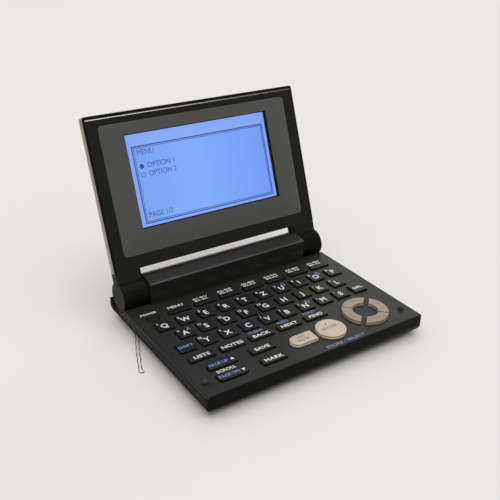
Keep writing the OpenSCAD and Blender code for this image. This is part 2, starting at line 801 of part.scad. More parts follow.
// The loop lies on the table. Both strands start at the anchor, and the points run
// down the outer strand, round the tip and back up the inner one, in the case frame.
cord_lift = 0.02;
cord_lie = bottom_z - foot_h + cord_dia / 2 + cord_lift;
cord_drop = 0.1;
cord_bend = bottom_z - cord_drop;
anchor_y = pocket_front + pocket_l - anchor_l;
cord_out = (pocket_top + anchor_low) / 2;
LOOP = [[-51.1, anchor_y, cord_out], [-51.1, 71.6, cord_out - cord_drop], [-51.4, 70.2, cord_bend],
    [-51.7, 69.3, cord_lie], [-52.2, 67.7, cord_lie], [-53.8, 63.7, cord_lie], [-55.1, 60.7, cord_lie],
    [-56.3, 57.9, cord_lie], [-57.5, 55.1, cord_lie], [-58.6, 52.3, cord_lie], [-59.8, 49.6, cord_lie],
    [-60.8, 46.9, cord_lie], [-61.8, 44.2, cord_lie], [-62.8, 41.7, cord_lie], [-63.3, 40.4, cord_lie],
    [-63.2, 39.5, cord_lie], [-62.5, 39, cord_lie], [-61.7, 39.3, cord_lie], [-61.4, 40.2, cord_lie],
    [-61.3, 41.8, cord_lie], [-60.5, 44.4, cord_lie], [-59.3, 47.2, cord_lie], [-58.3, 49.9, cord_lie],
    [-57.2, 52.5, cord_lie], [-56.1, 55.1, cord_lie], [-55, 57.7, cord_lie], [-53.8, 60.5, cord_lie],
    [-52.6, 63.3, cord_lie], [-51, 67.2, cord_lie], [-50.4, 69.2, cord_lie], [-50, 70.2, cord_bend],
    [-49.8, 71.6, cord_out - cord_drop], [-49.8, anchor_y, cord_out]];

// Smooth curve through a list of points, with n steps in each stretch
function smooth(p, n) = [for (i = [0:len(p) - 2], j = [0:n - 1])
    let (a = p[max(i - 1, 0)], b = p[i], c = p[i + 1], d = p[min(i + 2, len(p) - 1)], t = j / n)
    0.5 * (2 * b + (c - a) * t + (2 * a - 5 * b + 4 * c - d) * t * t + (3 * b - a - 3 * c + d) * t * t * t)];

module strap_loop() {
    color([0.35, 0.27, 0.22]) in_case()
        tube(concat(smooth(LOOP, 2), [LOOP[len(LOOP) - 1]]), cord_dia / 2, 8);
}

// Lid, in its own frame
lid_half = lid_w / 2;
lid_low = -lid_behind;
plate_back = lid_front - bezel_t;
shell_front = lid_front - fit;
bezel_half = lid_half - lid_wall - fit;
bezel_top = lid_len - lid_wall - fit;

module lid_form(inset, top, low_y) {
    r = lid_edge_r - min(inset, lid_edge_r - 0.6);
    z = lid_low + (inset > 0 ? lid_back : 0);
    intersection() {
        along(low_y, lid_len - inset) tray_front(lid_half - inset, z, top, r);
        across(-lid_w, lid_w) lid_side(z, top, r, inset);
        up_from(lid_low - 1, top + 1) translate([0, lid_len / 2])
            round_rect(lid_w - 2 * inset, lid_len - 2 * inset, lid_corner_r - inset * 0.5);
    }
}

// Side profile of the lid with its top back edge round
module lid_side(z, top, r, inset) {
    end = lid_len - inset;
    translate([-far, z]) square([far + end - r, top - z]);
    translate([-far, z + r]) square([far + end, top - z - r]);
    translate([end - r, z + r]) circle(r);
}

// Window, the display behind it, and the frame that holds the display
window_w = lid_w - 2 * window_side;
window_h = lid_len - window_low - window_top;
window_r = 2;
view_w = window_w - 2 * view_side;
view_h = window_h - view_over - view_under;
view_mid = window_low + view_under + view_h / 2;
view_edge = 1;
frame_side = 5;
frame_over = 4;
frame_under = 8;
frame_wall = 0.6;
frame_w = view_w + 2 * frame_side;
frame_low = view_mid - view_h / 2 - frame_under;
frame_top = view_mid + view_h / 2 + frame_over;

// Screws of the lid under the window, and the slot for the ribbon
lid_screw_x = frame_w / 2 + 3.4;
lid_screw_edge = 4.4;
lid_screw_rows = [window_low + lid_screw_edge, window_low + window_h - lid_screw_edge];
lid_screw_spots = [for (s = [-1, 1], y = lid_screw_rows) [s * lid_screw_x, y]];
lid_head_r = lid_screw_r + 0.6;
lid_head_t = 0.55;
lid_head_z = lid_front - window_t - 0.7;
roll_out = -knuckle_in - 4.5;
cable_w = 3;
cable_z = -0.35;

module cable_slot(top) {
    translate([roll_out - cable_w / 2 - cable_play, 0, cable_z - cable_play])
        cube([cable_w + 2 * cable_play, top, cable_t + 2 * cable_play]);
}

module lid_shell() {
    boss_z = lid_low + lid_back;
    color([0.16, 0.15, 0.14]) in_lid() difference() {
        union() {
            difference() {
                lid_form(0, shell_front, notch_h);
                lid_form(lid_wall, far, notch_h + lid_wall);
            }
            at_spots(lid_screw_spots) translate([0, 0, boss_z - seat])
                cylinder(h = plate_back - boss_z, r = lid_screw_r + 1);
        }
        // seat of the bezel plate
        up_from(plate_back - seat, far) bezel_plan(fit);
        at_spots(lid_screw_spots) translate([0, 0, boss_z + 0.3])
            cylinder(h = far, r = lid_screw_r + screw_bite);
        cable_slot(notch_h + lid_wall + 1);
    }
}

// Outline of the bezel plate, open downwards, grown by g
module bezel_plan(g = 0) {
    w = 2 * (bezel_half + g);
    r = lid_corner_r - lid_wall / 2;
    top = bezel_top + g;
    low = g > 0 ? -1 : notch_h - fit;
    translate([-w / 2, low]) square([w, top - r - low]);
    translate([r - w / 2, top - 2 * r]) square([w - 2 * r, 2 * r]);
    for (s = [-1, 1]) translate([s * (w / 2 - r), top - r]) circle(r);
}

module window_plan(g = 0) {
    translate([0, window_low + window_h / 2]) round_rect(window_w + 2 * g, window_h + 2 * g, window_r + g);
}

// Plan of the display's frame, moved inwards by inset
module frame_plan(inset) {
    translate([inset - frame_w / 2, frame_low + inset])
        square([frame_w - 2 * inset, frame_top - frame_low - 2 * inset]);
}

module lid_bezel() {
    color(gloss_black) in_lid() difference() {
        union() {
            up_from(plate_back, lid_front) bezel_plan();
            both_sides() {
                rod(knuckle_in, knuckle_out, knuckle_r);
                intersection() {
                    along(0, notch_h - fit) tray_front(lid_half, lid_low, lid_front, lid_edge_r);
                    translate([knuckle_in, 0, lid_low]) cube([knuckle_l, far, far]);
                }
            }
        }
        up_from(lid_front - window_t - seat, far) window_plan(fit);
        up_from(lid_low - 1, far) translate([0, view_mid])
            square([view_w + 2 * view_edge, view_h + 2 * view_edge], center = true);
        at_spots(lid_screw_spots) {
            translate([0, 0, lid_low]) cylinder(h = far, r = lid_screw_r + fit);
            translate([0, 0, lid_head_z]) cylinder(h = far, r = lid_head_r + fit);
        }
        // drive bores, and the wider mouths round the ribbon
        both_sides() {
            rod(0, knuckle_in + drive_l + fit, drive_r + seat);
            rod(0, cable_play - roll_out, cable_r + cable_play);
        }
        cable_slot(notch_h);
    }
}

module lid_screws() {
    color(steel) in_lid() at_spots(lid_screw_spots) {
        translate([0, 0, lid_head_z + seat / 2]) cylinder(h = lid_head_t, r = lid_head_r);
        translate([0, 0, lid_low + lid_back + 0.4])
            cylinder(h = lid_head_z - lid_low - lid_back - 0.3, r = lid_screw_r);
    }
}

module display_window() {
    color([0.3, 0.3, 0.3]) in_lid() up_from(lid_front - window_t, lid_front) window_plan();
}

lcd_front = plate_back - seat;
lcd_back = lcd_front - lcd_t;
well_back = lid_low + lid_back;

module lcd_panel() {
    color([0.45, 0.62, 0.98]) in_lid() up_from(lcd_back, lcd_front) frame_plan(frame_wall + fit);
}

module backlight() {
    color("white") in_lid() up_from(well_back + seat, lcd_back - seat) frame_plan(frame_wall + fit);
}

module display_frame() {
    color(steel) in_lid() up_from(well_back, lcd_front) difference() {
        frame_plan(0);
        frame_plan(frame_wall);
    }
}

// Driver board between the display and the lid's lower edge, with the ribbon's socket
strip_gap = 0.6;
strip_t = 0.8;
strip_low = notch_h + lid_wall + strip_gap;
strip_high = frame_low - strip_gap;
lid_socket_w = 5;
lid_socket_d = 3;

module display_board() {
    color("darkgreen") in_lid() {
        translate([-frame_w / 2, strip_low, well_back]) cube([frame_w, strip_high - strip_low, strip_t]);
        translate([-frame_w / 2, strip_low, well_back + strip_t - seat])
            cube([lid_socket_w, lid_socket_d, cable_z - well_back - strip_t + seat]);
    }
}

// Ribbon: a roll round the left shaft, then a strip up into the lid
module display_cable() {
    color([0.75, 0.5, 0.2]) in_lid() {
        difference() {
            rod(roll_out, roll_end, cable_r);
            rod(roll_out - 1, roll_end + 1, cable_r - cable_t);
        }
        translate([roll_out - cable_w / 2, cable_r - 0.2, cable_z])
            cube([cable_w, strip_low + lid_socket_d - cable_r + 0.2, cable_t]);
        translate([roll_out, strip_low, cable_z])
            cube([lid_socket_w - frame_w / 2 - roll_out, lid_socket_d, cable_t]);
    }
}

lower_case();
keyboard_panel();
hinge_cover();
hinge_barrels();
battery_cell();
battery_plate();
battery_spring();
battery_door();
main_board();
board_chips();
board_cable();
key_mat();
rubber_feet();
lid_bumpers();
base_screws();
strap_anchor();
strap_loop();
lid_shell();
lid_bezel();
hinge_shafts();
display_window();
lcd_panel();
backlight();
display_frame();
display_board();
display_cable();
lid_screws();
for (r = [0:2]) letter_row(r);
for (k = single_keys) key_body(k);
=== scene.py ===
import json
import math

import bmesh
import bpy
from mathutils import Matrix, Vector


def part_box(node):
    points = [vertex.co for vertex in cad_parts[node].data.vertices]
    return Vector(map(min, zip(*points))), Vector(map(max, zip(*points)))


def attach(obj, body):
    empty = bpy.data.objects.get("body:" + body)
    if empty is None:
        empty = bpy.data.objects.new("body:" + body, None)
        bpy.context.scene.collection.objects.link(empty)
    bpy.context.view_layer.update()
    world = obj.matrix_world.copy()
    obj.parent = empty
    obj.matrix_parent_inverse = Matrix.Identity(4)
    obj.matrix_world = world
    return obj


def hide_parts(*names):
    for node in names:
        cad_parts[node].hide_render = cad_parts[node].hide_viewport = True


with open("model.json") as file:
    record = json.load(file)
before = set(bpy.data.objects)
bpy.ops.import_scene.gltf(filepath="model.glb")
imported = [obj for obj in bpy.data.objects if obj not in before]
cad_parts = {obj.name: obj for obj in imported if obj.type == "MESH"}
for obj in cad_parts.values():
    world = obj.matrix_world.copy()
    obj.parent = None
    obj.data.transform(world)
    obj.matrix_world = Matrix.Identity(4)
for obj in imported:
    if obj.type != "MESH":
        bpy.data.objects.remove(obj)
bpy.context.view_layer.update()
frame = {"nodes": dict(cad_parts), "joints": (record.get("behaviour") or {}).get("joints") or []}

# Camera: it stands in front of the dictionary's left corner and above it, rolled by a degree or so, with
# a short telephoto lens. It is aimed behind the hinge's right half, at the level of the keyboard's surface.
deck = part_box("keyboard_panel")[1].z
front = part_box("lower_case")[0].y


def on_case(x, y, z=0.0):
    """Point at y behind the case's front edge and z above the keyboard's surface."""
    return Vector((x, front + y, deck + z))


camera_turn = math.radians(-34.257)
camera_height = math.radians(27.13)
camera_roll = math.radians(1.387)
camera_distance = 0.376958
aim = on_case(0.024822, 0.091836)
camera_back = Vector((math.sin(camera_turn) * math.cos(camera_height),
                      -math.cos(camera_turn) * math.cos(camera_height),
                      math.sin(camera_height)))
level_right = Vector((math.cos(camera_turn), math.sin(camera_turn), 0))
level_up = camera_back.cross(level_right)
camera_right = level_right * math.cos(camera_roll) + level_up * math.sin(camera_roll)
camera_up = level_up * math.cos(camera_roll) - level_right * math.sin(camera_roll)
bpy.ops.object.camera_add(
    location=aim + camera_distance * camera_back,
    rotation=Matrix((camera_right, camera_up, camera_back)).transposed().to_euler())
camera = bpy.context.object
camera.name = "camera"
camera.data.lens = 53.01
camera.data.clip_start = 0.01
bpy.context.scene.camera = camera

# Strap: a loop of thin cord, twisted from a dark yarn and a pale one. It lies on the table at the left,
# and both its ends go up into the pocket under the case's corner, to a bar that is moulded there.
cord_width = 0.00045
yarn_width = 0.00030
twist_pitch = 0.0046
off_table = 0.00002
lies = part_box("rubber_feet")[0].z - deck + cord_width / 2 + off_table
strap_route = [
    (-0.0511, 0.0729, -0.0079), (-0.0511, 0.0716, -0.0080), (-0.0514, 0.0702, -0.0093),
    (-0.0517, 0.0693, lies), (-0.0522, 0.0677, lies), (-0.0538, 0.0637, lies), (-0.0551, 0.0607, lies),
    (-0.0563, 0.0579, lies), (-0.0575, 0.0551, lies), (-0.0586, 0.0523, lies), (-0.0598, 0.0496, lies),
    (-0.0608, 0.0469, lies), (-0.0618, 0.0442, lies), (-0.0628, 0.0417, lies), (-0.0633, 0.0404, lies),
    (-0.0632, 0.0395, lies), (-0.0625, 0.0390, lies), (-0.0617, 0.0393, lies), (-0.0614, 0.0402, lies),
    (-0.0613, 0.0418, lies), (-0.0605, 0.0444, lies), (-0.0593, 0.0472, lies), (-0.0583, 0.0499, lies),
    (-0.0572, 0.0525, lies), (-0.0561, 0.0551, lies), (-0.0550, 0.0577, lies), (-0.0538, 0.0605, lies),
    (-0.0526, 0.0633, lies), (-0.0510, 0.0672, lies), (-0.0504, 0.0692, lies), (-0.0500, 0.0702, -0.0093),
    (-0.0498, 0.0716, -0.0080), (-0.0498, 0.0729, -0.0079)]


def smooth_path(points, steps):
    """Curve through the points, with the same number of steps in each stretch."""
    path = []
    for i in range(len(points) - 1):
        a = points[max(i - 1, 0)]
        b = points[i]
        c = points[i + 1]
        d = points[min(i + 2, len(points) - 1)]
        for j in range(steps):
            t = j / steps
            path.append(0.5 * (2 * b + (c - a) * t + (2 * a - 5 * b + 4 * c - d) * t ** 2
                               + (3 * b - a - 3 * c + d) * t ** 3))
    return path + [points[-1]]


steps_between = 14
strap_path = smooth_path([on_case(*point) for point in strap_route], steps_between)
strap_length = sum((b - a).length for a, b in zip(strap_path, strap_path[1:]))


def yarn_points(path, radius, pitch, start):
    """Winds a line round the path at a radius, one turn for each pitch of its length."""
    points = []
    run = 0.0
    side = Vector((0, 0, 1))
    for i, point in enumerate(path):
        along = (path[min(i + 1, len(path) - 1)] - path[max(i - 1, 0)]).normalized()
        side = (side - along * side.dot(along)).normalized()
        if i:
            run += (point - path[i - 1]).length
        angle = start + math.tau * run / pitch
        points.append(point + radius * (math.cos(angle) * side + math.sin(angle) * along.cross(side)))
    return points


class Value:
    """A socket that a finish's nodes give out. Arithmetic on it adds a Math node to the finish."""

    def __init__(self, finish, socket):
        self.finish = finish
        self.socket = socket

    def calc(self, operation, first, second):
        return self.finish.node("ShaderNodeMath", {"operation": operation}, {0: first, 1: second})

    def __add__(self, other):
        return self.calc("ADD", self, other)

    def __radd__(self, other):
        return self.calc("ADD", other, self)

    def __rsub__(self, other):
        return self.calc("SUBTRACT", other, self)

    def __mul__(self, other):
        return self.calc("MULTIPLY", self, other)

    def __rmul__(self, other):
        return self.calc("MULTIPLY", other, self)

    def __gt__(self, other):
        return self.calc("GREATER_THAN", self, other)

    def __lt__(self, other):
        return self.calc("LESS_THAN", self, other)


class Finish:
    """A material while its nodes are wired. node() makes a node: its settings, then its sockets."""

    def __init__(self, name):
        self.material = bpy.data.materials.new(name)
        self.material.use_nodes = True
        self.tree = self.material.node_tree
        self.tree.nodes.clear()

    def node(self, kind, settings=None, sockets=None, out=0):
        made = self.tree.nodes.new(kind)
        for name, setting in (settings or {}).items():
            if name == "stops":
                for i, (place, shade) in enumerate(setting):
                    stop = made.color_ramp.elements[i] if i < 2 else made.color_ramp.elements.new(place)
                    stop.position = place
                    stop.color = shade
            else:
                setattr(made, name, setting)
        for name, value in (sockets or {}).items():
            if isinstance(value, Value):
                self.tree.links.new(value.socket, made.inputs[name])
            else:
                made.inputs[name].default_value = value
        return Value(self, made.outputs[out])

    def place(self, scale=(1, 1, 1), offset=(0, 0, 0)):
        """Place on the object in metres, scaled."""
        spot = self.node("ShaderNodeTexCoord", out="Object")
        return self.node("ShaderNodeMapping", {}, {"Vector": spot, "Scale": scale, "Location": offset})

    def noise(self, size, detail=2.0, stretch=(1, 1, 1)):
        """Cloudy pattern, 0 to 1, whose blotches have about this size in metres."""
        return self.node("ShaderNodeTexNoise", {}, {
            "Vector": self.place(scale=stretch), "Scale": 1 / size, "Detail": detail, "Roughness": 0.55})

    def along(self, way, start=(0, 0, 0)):
        """Distance in metres along a direction, counted from a point."""
        spot = self.place(offset=[-part for part in start])
        return self.node("ShaderNodeVectorMath", {"operation": "DOT_PRODUCT"}, {0: spot, 1: way}, out=1)

    def lines(self, distance, pitch):
        """Distance to the nearest of many lines that lie a pitch apart."""
        return self.node("ShaderNodeMath", {"operation": "PINGPONG"}, {0: distance, 1: pitch / 2})

    def steps(self, value, low, high):
        """The value, stretched so that low gives 0 and high gives 1."""
        return self.node("ShaderNodeMapRange", {"clamp": True}, {
            "Value": value, "From Min": low, "From Max": high})

    def mix(self, factor, first, second):
        """Colour between two colours."""
        return self.node("ShaderNodeMix", {"data_type": "RGBA"}, {0: factor, 6: first, 7: second}, out=2)

    def bump(self, height, depth):
        """Surface direction for a relief of this depth in metres."""
        return self.node("ShaderNodeBump", {}, {"Height": height, "Distance": depth})

    def done(self, **sockets):
        """Ends the finish with one surface shader; the sockets' names have _ for a space."""
        words = {name.replace("_", " "): value for name, value in sockets.items()}
        surface = self.node("ShaderNodeBsdfPrincipled", {}, words)
        end = self.tree.nodes.new("ShaderNodeOutputMaterial")
        self.tree.links.new(surface.socket, end.inputs["Surface"])
        return self.material


def rgb(red, green, blue):
    """Colour for a socket."""
    return (red, green, blue, 1.0)


def yarn_finish(name, dark, pale):
    """Matte fibres, with painted shade in the hollows of their relief."""
    finish = Finish(name)
    fuzz_and_shade = finish.noise(0.00015, 3.0)
    return finish.done(
        Base_Color=finish.mix(finish.steps(fuzz_and_shade, 0.35, 0.65), dark, pale),
        Roughness=0.85,
        Normal=finish.bump(fuzz_and_shade, 0.00004))


def pick(piece):
    """Selects a piece and nothing else."""
    bpy.ops.object.select_all(action="DESELECT")
    piece.select_set(True)
    bpy.context.view_layer.objects.active = piece


def joined(pieces):
    """Joins pieces into the first of them."""
    pick(pieces[0])
    for piece in pieces[1:]:
        piece.select_set(True)
    if len(pieces) > 1:
        bpy.ops.object.join()
    return pieces[0]


def yarn(name, start, material):
    """One yarn of the twisted cord, as a mesh."""
    curve = bpy.data.curves.new(name, "CURVE")
    curve.dimensions = "3D"
    spline = curve.splines.new("POLY")
    points = yarn_points(strap_path, (cord_width - yarn_width) / 2, twist_pitch, start)
    spline.points.add(len(points) - 1)
    for spot, point in zip(spline.points, points):
        spot.co = (*point, 1)
    curve.bevel_depth = yarn_width / 2
    curve.bevel_resolution = 1
    curve.use_fill_caps = True
    piece = bpy.data.objects.new(name, curve)
    bpy.context.collection.objects.link(piece)
    pick(piece)
    bpy.ops.object.convert(target="MESH")
    piece.data.materials.append(material)
    bpy.ops.object.shade_smooth()
    return piece


dark_fibre = yarn_finish("dark_yarn", rgb(0.012, 0.008, 0.005), rgb(0.040, 0.026, 0.018))
pale_fibre = yarn_finish("pale_yarn", rgb(0.50, 0.44, 0.36), rgb(0.72, 0.65, 0.57))
strap = joined([yarn("strap_cord", 0.0, dark_fibre), yarn("pale_yarn", math.pi, pale_fibre)])
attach(strap, "base")
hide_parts("strap_loop")

# Lower case: a glossy black moulded tray with large roundings underneath, which carries everything else.
# Its rear corners are hollowed into troughs, where the lid's knuckles turn. The tray takes a darker copy of
# the black plastic as painted shade, and the tops of its side rims a lighter gloss as a painted highlight.
close_by = 0.00001
merge_reach = 0.000002
flat_below = math.radians(0.8)
sharp = math.radians(32)
smooth_below = math.radians(40)


def ease_all(piece, width, rounds, angle):
    """Rounds every edge of a piece that is sharper than an angle."""
    ease = piece.modifiers.new("ease", "BEVEL")
    ease.width = width
    ease.segments = rounds
    ease.limit_method = "ANGLE"
    ease.angle_limit = angle
    bpy.ops.object.modifier_apply(modifier="ease")


def moulding(node, name, edge=0):
    """A node's solid as it leaves the mould: its facets joined up and its edges eased by a small round."""
    piece = bpy.data.objects.new(name, frame["nodes"][node].data.copy())
    bpy.context.collection.objects.link(piece)
    pick(piece)
    bpy.ops.object.mode_set(mode="EDIT")
    bpy.ops.mesh.select_all(action="SELECT")
    bpy.ops.mesh.remove_doubles(threshold=merge_reach)
    bpy.ops.mesh.dissolve_limited(angle_limit=flat_below)
    bpy.ops.object.mode_set(mode="OBJECT")
    if edge:
        ease_all(piece, edge, 2, sharp)
    bpy.ops.object.shade_smooth_by_angle(angle=smooth_below)
    return piece


def choose(piece, kind, wanted):
    """In edit mode, selects only those edges or faces of a piece that are wanted."""
    bpy.ops.mesh.select_mode(type=kind)
    bpy.ops.mesh.select_all(action="DESELECT")
    mesh = bmesh.from_edit_mesh(piece.data)
    for part in mesh.edges if kind == "EDGE" else mesh.faces:
        part.select_set(wanted(part))
    bmesh.update_edit_mesh(piece.data)


def ease_edges(piece, chosen, width, rounds):
    """Rounds those sharp edges of a piece whose two ends are chosen."""
    pick(piece)
    bpy.ops.object.mode_set(mode="EDIT")
    choose(piece, "EDGE", lambda edge: edge.calc_face_angle(0.0) > sharp
           and all(chosen(end.co) for end in edge.verts))
    bpy.ops.mesh.bevel(offset=width, segments=rounds, affect="EDGES", clamp_overlap=True)
    bpy.ops.object.mode_set(mode="OBJECT")
    bpy.ops.object.shade_smooth_by_angle(angle=smooth_below)


def on_deck(spot):
    """Whether a spot of the base is level with the keyboard's surface, or above it."""
    return spot.z > deck - close_by


def finish_node(node, material):
    """Gives a node that stays as it is its finish."""
    slots = frame["nodes"][node].data.materials
    slots.clear()
    slots.append(material)


def dress(piece, material, body, node):
    """Ends a piece that stands for a node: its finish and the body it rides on."""
    piece.data.materials.clear()
    piece.data.materials.append(material)
    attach(piece, body)
    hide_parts(node)


def gloss_finish(name, shade, dusty, polish, ior):
    """Glossy moulded plastic: faint flow clouds, and a shine with wiped streaks and a little dust."""
    finish = Finish(name)
    clouds = finish.noise(0.012, 3.0)
    wiped = finish.noise(0.0035, 4.0, stretch=(1, 0.25, 1))
    dust = finish.steps(finish.noise(0.00035, 1.0), 0.68, 0.74)
    skin = finish.noise(0.0011, 2.0)
    return finish.done(
        Base_Color=finish.mix(finish.steps(clouds, 0.3, 0.7) * 0.6 + dust * 0.35, shade, dusty),
        Roughness=polish + 0.07 * finish.steps(wiped, 0.35, 0.7) + 0.12 * dust,
        Normal=finish.bump(skin, 0.00001),
        IOR=ior)


# The darker black is painted shade, and the lighter rim gloss below is a painted highlight.
shaded_gloss = gloss_finish("shaded_gloss", rgb(0.0062, 0.0062, 0.005), rgb(0.0105, 0.01, 0.0085), 0.20, 1.11)
case_gloss = gloss_finish("case_gloss", rgb(0.0125, 0.013, 0.0114), rgb(0.0178, 0.0174, 0.0152), 0.12, 1.16)
rim_highlight_gloss = gloss_finish("rim_highlight_gloss", rgb(0.075, 0.074, 0.064), rgb(0.100, 0.098, 0.086), 0.20, 1.45)
rim_wide = 0.0007
rim_round = 0.00018
rim_highlight_deep = 0.0002
lower_case = moulding("lower_case", "lower_case_moulding")
ease_edges(lower_case, on_deck, rim_round, 2)
dress(lower_case, shaded_gloss, "base", "lower_case")
# The tops of the side rims take the lighter gloss: a painted highlight.
lower_case.data.materials.append(rim_highlight_gloss)
rim_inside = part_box("lower_case")[1].x - rim_wide
for face in lower_case.data.polygons:
    on_rim = abs(face.center.x) > rim_inside and face.center.z > deck - rim_highlight_deep
    face.material_index = 1 if on_rim and face.normal.z > 0.5 else 0

# Keyboard panel: a plate of matte charcoal plastic, sparked in the mould to a fine grain. It drops into the
# case's rim and is pulled down by four screws from below; the keys stand through its openings.
panel_finish = Finish("panel_matte")
grain = panel_finish.noise(0.00022, 3.0)
stain = panel_finish.noise(0.015, 3.0)
panel_matte = panel_finish.done(
    Base_Color=panel_finish.mix(panel_finish.steps(stain, 0.3, 0.7), rgb(0.0160, 0.0158, 0.0128),
                                rgb(0.0205, 0.0200, 0.0162)),
    Roughness=0.34 + 0.14 * grain,
    Normal=panel_finish.bump(grain, 0.00001),
    IOR=1.24)
panel_round = 0.0001
panel = moulding("keyboard_panel", "keyboard_panel_moulding")
ease_edges(panel, on_deck, panel_round, 2)
dress(panel, panel_matte, "base", "keyboard_panel")

# Panel labels: generic words that a pad prints between the keys in cream and blue ink. The ink stands a
# little proud of the panel and is thin in places.
mm = 0.001
ink_depth = 0.000012
ink_merge = 0.0000005
capital_share = 0.729


def label_ink(name, shade):
    """Printing ink: opaque, slightly raised, and thin where the pad didn't press."""
    finish = Finish(name)
    wear = finish.steps(finish.noise(0.0004, 3.0), 0.25, 0.6)
    return finish.done(
        Base_Color=finish.mix(wear, tuple(0.8 * part for part in shade[:3]) + (1.0,), shade),
        Roughness=0.6,
        Normal=finish.bump(wear, 0.000004))


cream_ink = label_ink("cream_ink", rgb(0.80, 0.77, 0.70))
blue_ink = label_ink("blue_ink", rgb(0.19, 0.25, 0.42))


def flat_words(words, height, wide, bold=0.03):
    """Words as a thin closed mesh, round the origin: a capital's height, and a stretch of the width."""
    bpy.ops.object.select_all(action="DESELECT")
    bpy.ops.object.text_add()
    text = bpy.context.object
    text.data.body = words
    text.data.size = height / capital_share
    text.data.align_x = "CENTER"
    text.data.align_y = "CENTER"
    text.data.space_line = 0.93
    text.data.extrude = ink_depth
    text.data.offset = bold * height
    text.data.resolution_u = 3
    bpy.ops.object.convert(target="MESH")
    bpy.ops.object.mode_set(mode="EDIT")
    bpy.ops.mesh.select_all(action="SELECT")
    bpy.ops.mesh.remove_doubles(threshold=ink_merge)
    bpy.ops.object.mode_set(mode="OBJECT")
    text.data.transform(Matrix.Diagonal((wide, 1, 1, 1)))
    return text


def flat_sign(sides, radius, turn=0.0):
    """A printed dot, or with three sides an arrowhead, round the origin."""
    bpy.ops.object.select_all(action="DESELECT")
    bpy.ops.mesh.primitive_cylinder_add(vertices=sides, radius=radius, depth=2 * ink_depth)
    sign = bpy.context.object
    sign.data.transform(Matrix.Rotation(turn, 4, "Z"))
    return sign


def inked(mark, spot, ink):
    """Puts a mark at a spot of a level surface, in its ink."""
    mark.data.transform(Matrix.Translation(spot))
    mark.data.materials.append(ink)
    return mark


def printed(name, marks, body):
    """Joins marks of ink into one piece that rides on a body."""
    label = joined(marks)
    label.name = name
    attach(label, body)


panel_words = [
    ("POWER", -47.0, 63.8, 1.45, 1.1, cream_ink),
    ("MENU", -33.9, 63.4, 1.8, 1.15, cream_ink),
    ("SCROLL", -39.3, 12.0, 1.6, 1.1, cream_ink),
    ("STORE / SELECT", 13.4, 2.6, 1.6, 1.3, blue_ink),
    ("CLEAR", -15.0, 28.0, 1.6, 1.1, blue_ink),
    ("INFO", -0.8, 28.0, 1.6, 1.1, blue_ink),
    ("FONT", 13.4, 28.0, 1.6, 1.1, blue_ink)]
mode_pitch = 12.95
mode_start = -33.95
for i in range(1, 7):
    mode_words = "A%d-B%d/\nB%d-A%d" % (i, i, i, i)
    panel_words.append((mode_words, mode_start + mode_pitch * i, 63.3, 1.35, 1.45, cream_ink))
panel_marks = [inked(flat_words(words, height * mm, wide), on_case(x * mm, y * mm), ink)
               for words, x, y, height, wide, ink in panel_words]
printed("panel_labels", panel_marks, "base")

# Dark keys: caps of satin black plastic with a soft upper rim. Each stands through the panel on a wider
# flange, which the panel holds down on the rubber domes below.
key_finish = Finish("key_dark")
key_grain = key_finish.noise(0.00018, 2.0)
key_haze = key_finish.noise(0.0030, 3.0)
key_dark = key_finish.done(
    Base_Color=key_finish.mix(key_finish.steps(key_haze, 0.3, 0.7), rgb(0.0036, 0.0036, 0.0030),
                              rgb(0.0062, 0.0060, 0.0050)),
    Roughness=0.36 + 0.12 * key_grain,
    Normal=key_finish.bump(key_grain, 0.000012),
    Specular_IOR_Level=0.2)


def key_cap(node, rim, material):
    """A key's solid with the upper rim of its cap rounded off."""
    piece = moulding(node, node + "_cap")
    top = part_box(node)[1].z
    ease_edges(piece, lambda spot: abs(spot.z - top) < close_by, rim, 3)
    dress(piece, material, node, node)
    return piece


dark_keys = ["power_key", "shift_key", "delete_key", "favourite_key", "marker_key", "page_up_key",
             "page_down_key", "letter_row_top", "letter_row_middle", "letter_row_bottom"]
dark_keys += ["mode_key_%d" % (i + 1) for i in range(7)]
dark_keys += ["function_key_%d" % (i + 1) for i in range(5)]
dark_round = 0.28 * mm
for node in dark_keys:
    key_cap(node, dark_round, key_dark)

# Legends of the letter keys, printed on the caps: the letter in cream, a small second sign at its upper
# left, and an accented letter in blue on some. One row is one moving piece, so its legends are joined too.
key_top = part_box("letter_row_top")[1].z
key_width = 7.3 * mm
flange_reach = 0.7 * mm
letter_high = 3.1 * mm
sign_high = 1.5 * mm
accent_high = 2.0 * mm
letter_rows = {
    "letter_row_top": ("QWERTZUIOP", "1234567890", {"U": "\u00dc", "O": "\u00d6"}),
    "letter_row_middle": ("ASDFGHJKL", ["+", "11", "12", "13", "14", "", "", "-", "="], {"A": "\u00c4"}),
    "letter_row_bottom": ("YXCVBNM\u00df", ["15", "*", "", "/", "?", "!", "..", ":"], {"N": "\u00d1"})}
sign_spot = Vector((-2.45, 1.85, 0)) * mm
accent_spot = Vector((2.2, 1.5, 0)) * mm
letter_spot = Vector((-0.2, -0.5, 0)) * mm
for row, (letters, signs, accents) in letter_rows.items():
    low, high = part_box(row)
    first = low.x + flange_reach + key_width / 2
    pitch = (high.x - low.x - 2 * flange_reach - key_width) / (len(letters) - 1)
    marks = []
    for i, letter in enumerate(letters):
        middle = Vector((first + i * pitch, (low.y + high.y) / 2, key_top))
        marks.append(inked(flat_words(letter, letter_high, 0.95), middle + letter_spot, cream_ink))
        if signs[i]:
            marks.append(inked(flat_words(signs[i], sign_high, 1.0), middle + sign_spot, cream_ink))
        if letter in accents:
            accent = flat_words(accents[letter], accent_high, 1.0)
            marks.append(inked(accent, middle + accent_spot, blue_ink))
    printed(row + "_legends", marks, row)

# Legends of the single dark keys: one generic word on each cap, printed in cream or blue. The two page keys
# have an arrowhead as well, which points up or down.


def top_middle(low, high):
    """Middle of the upper face of the box between two corners."""
    return Vector(((low.x + high.x) / 2, (low.y + high.y) / 2, high.z))


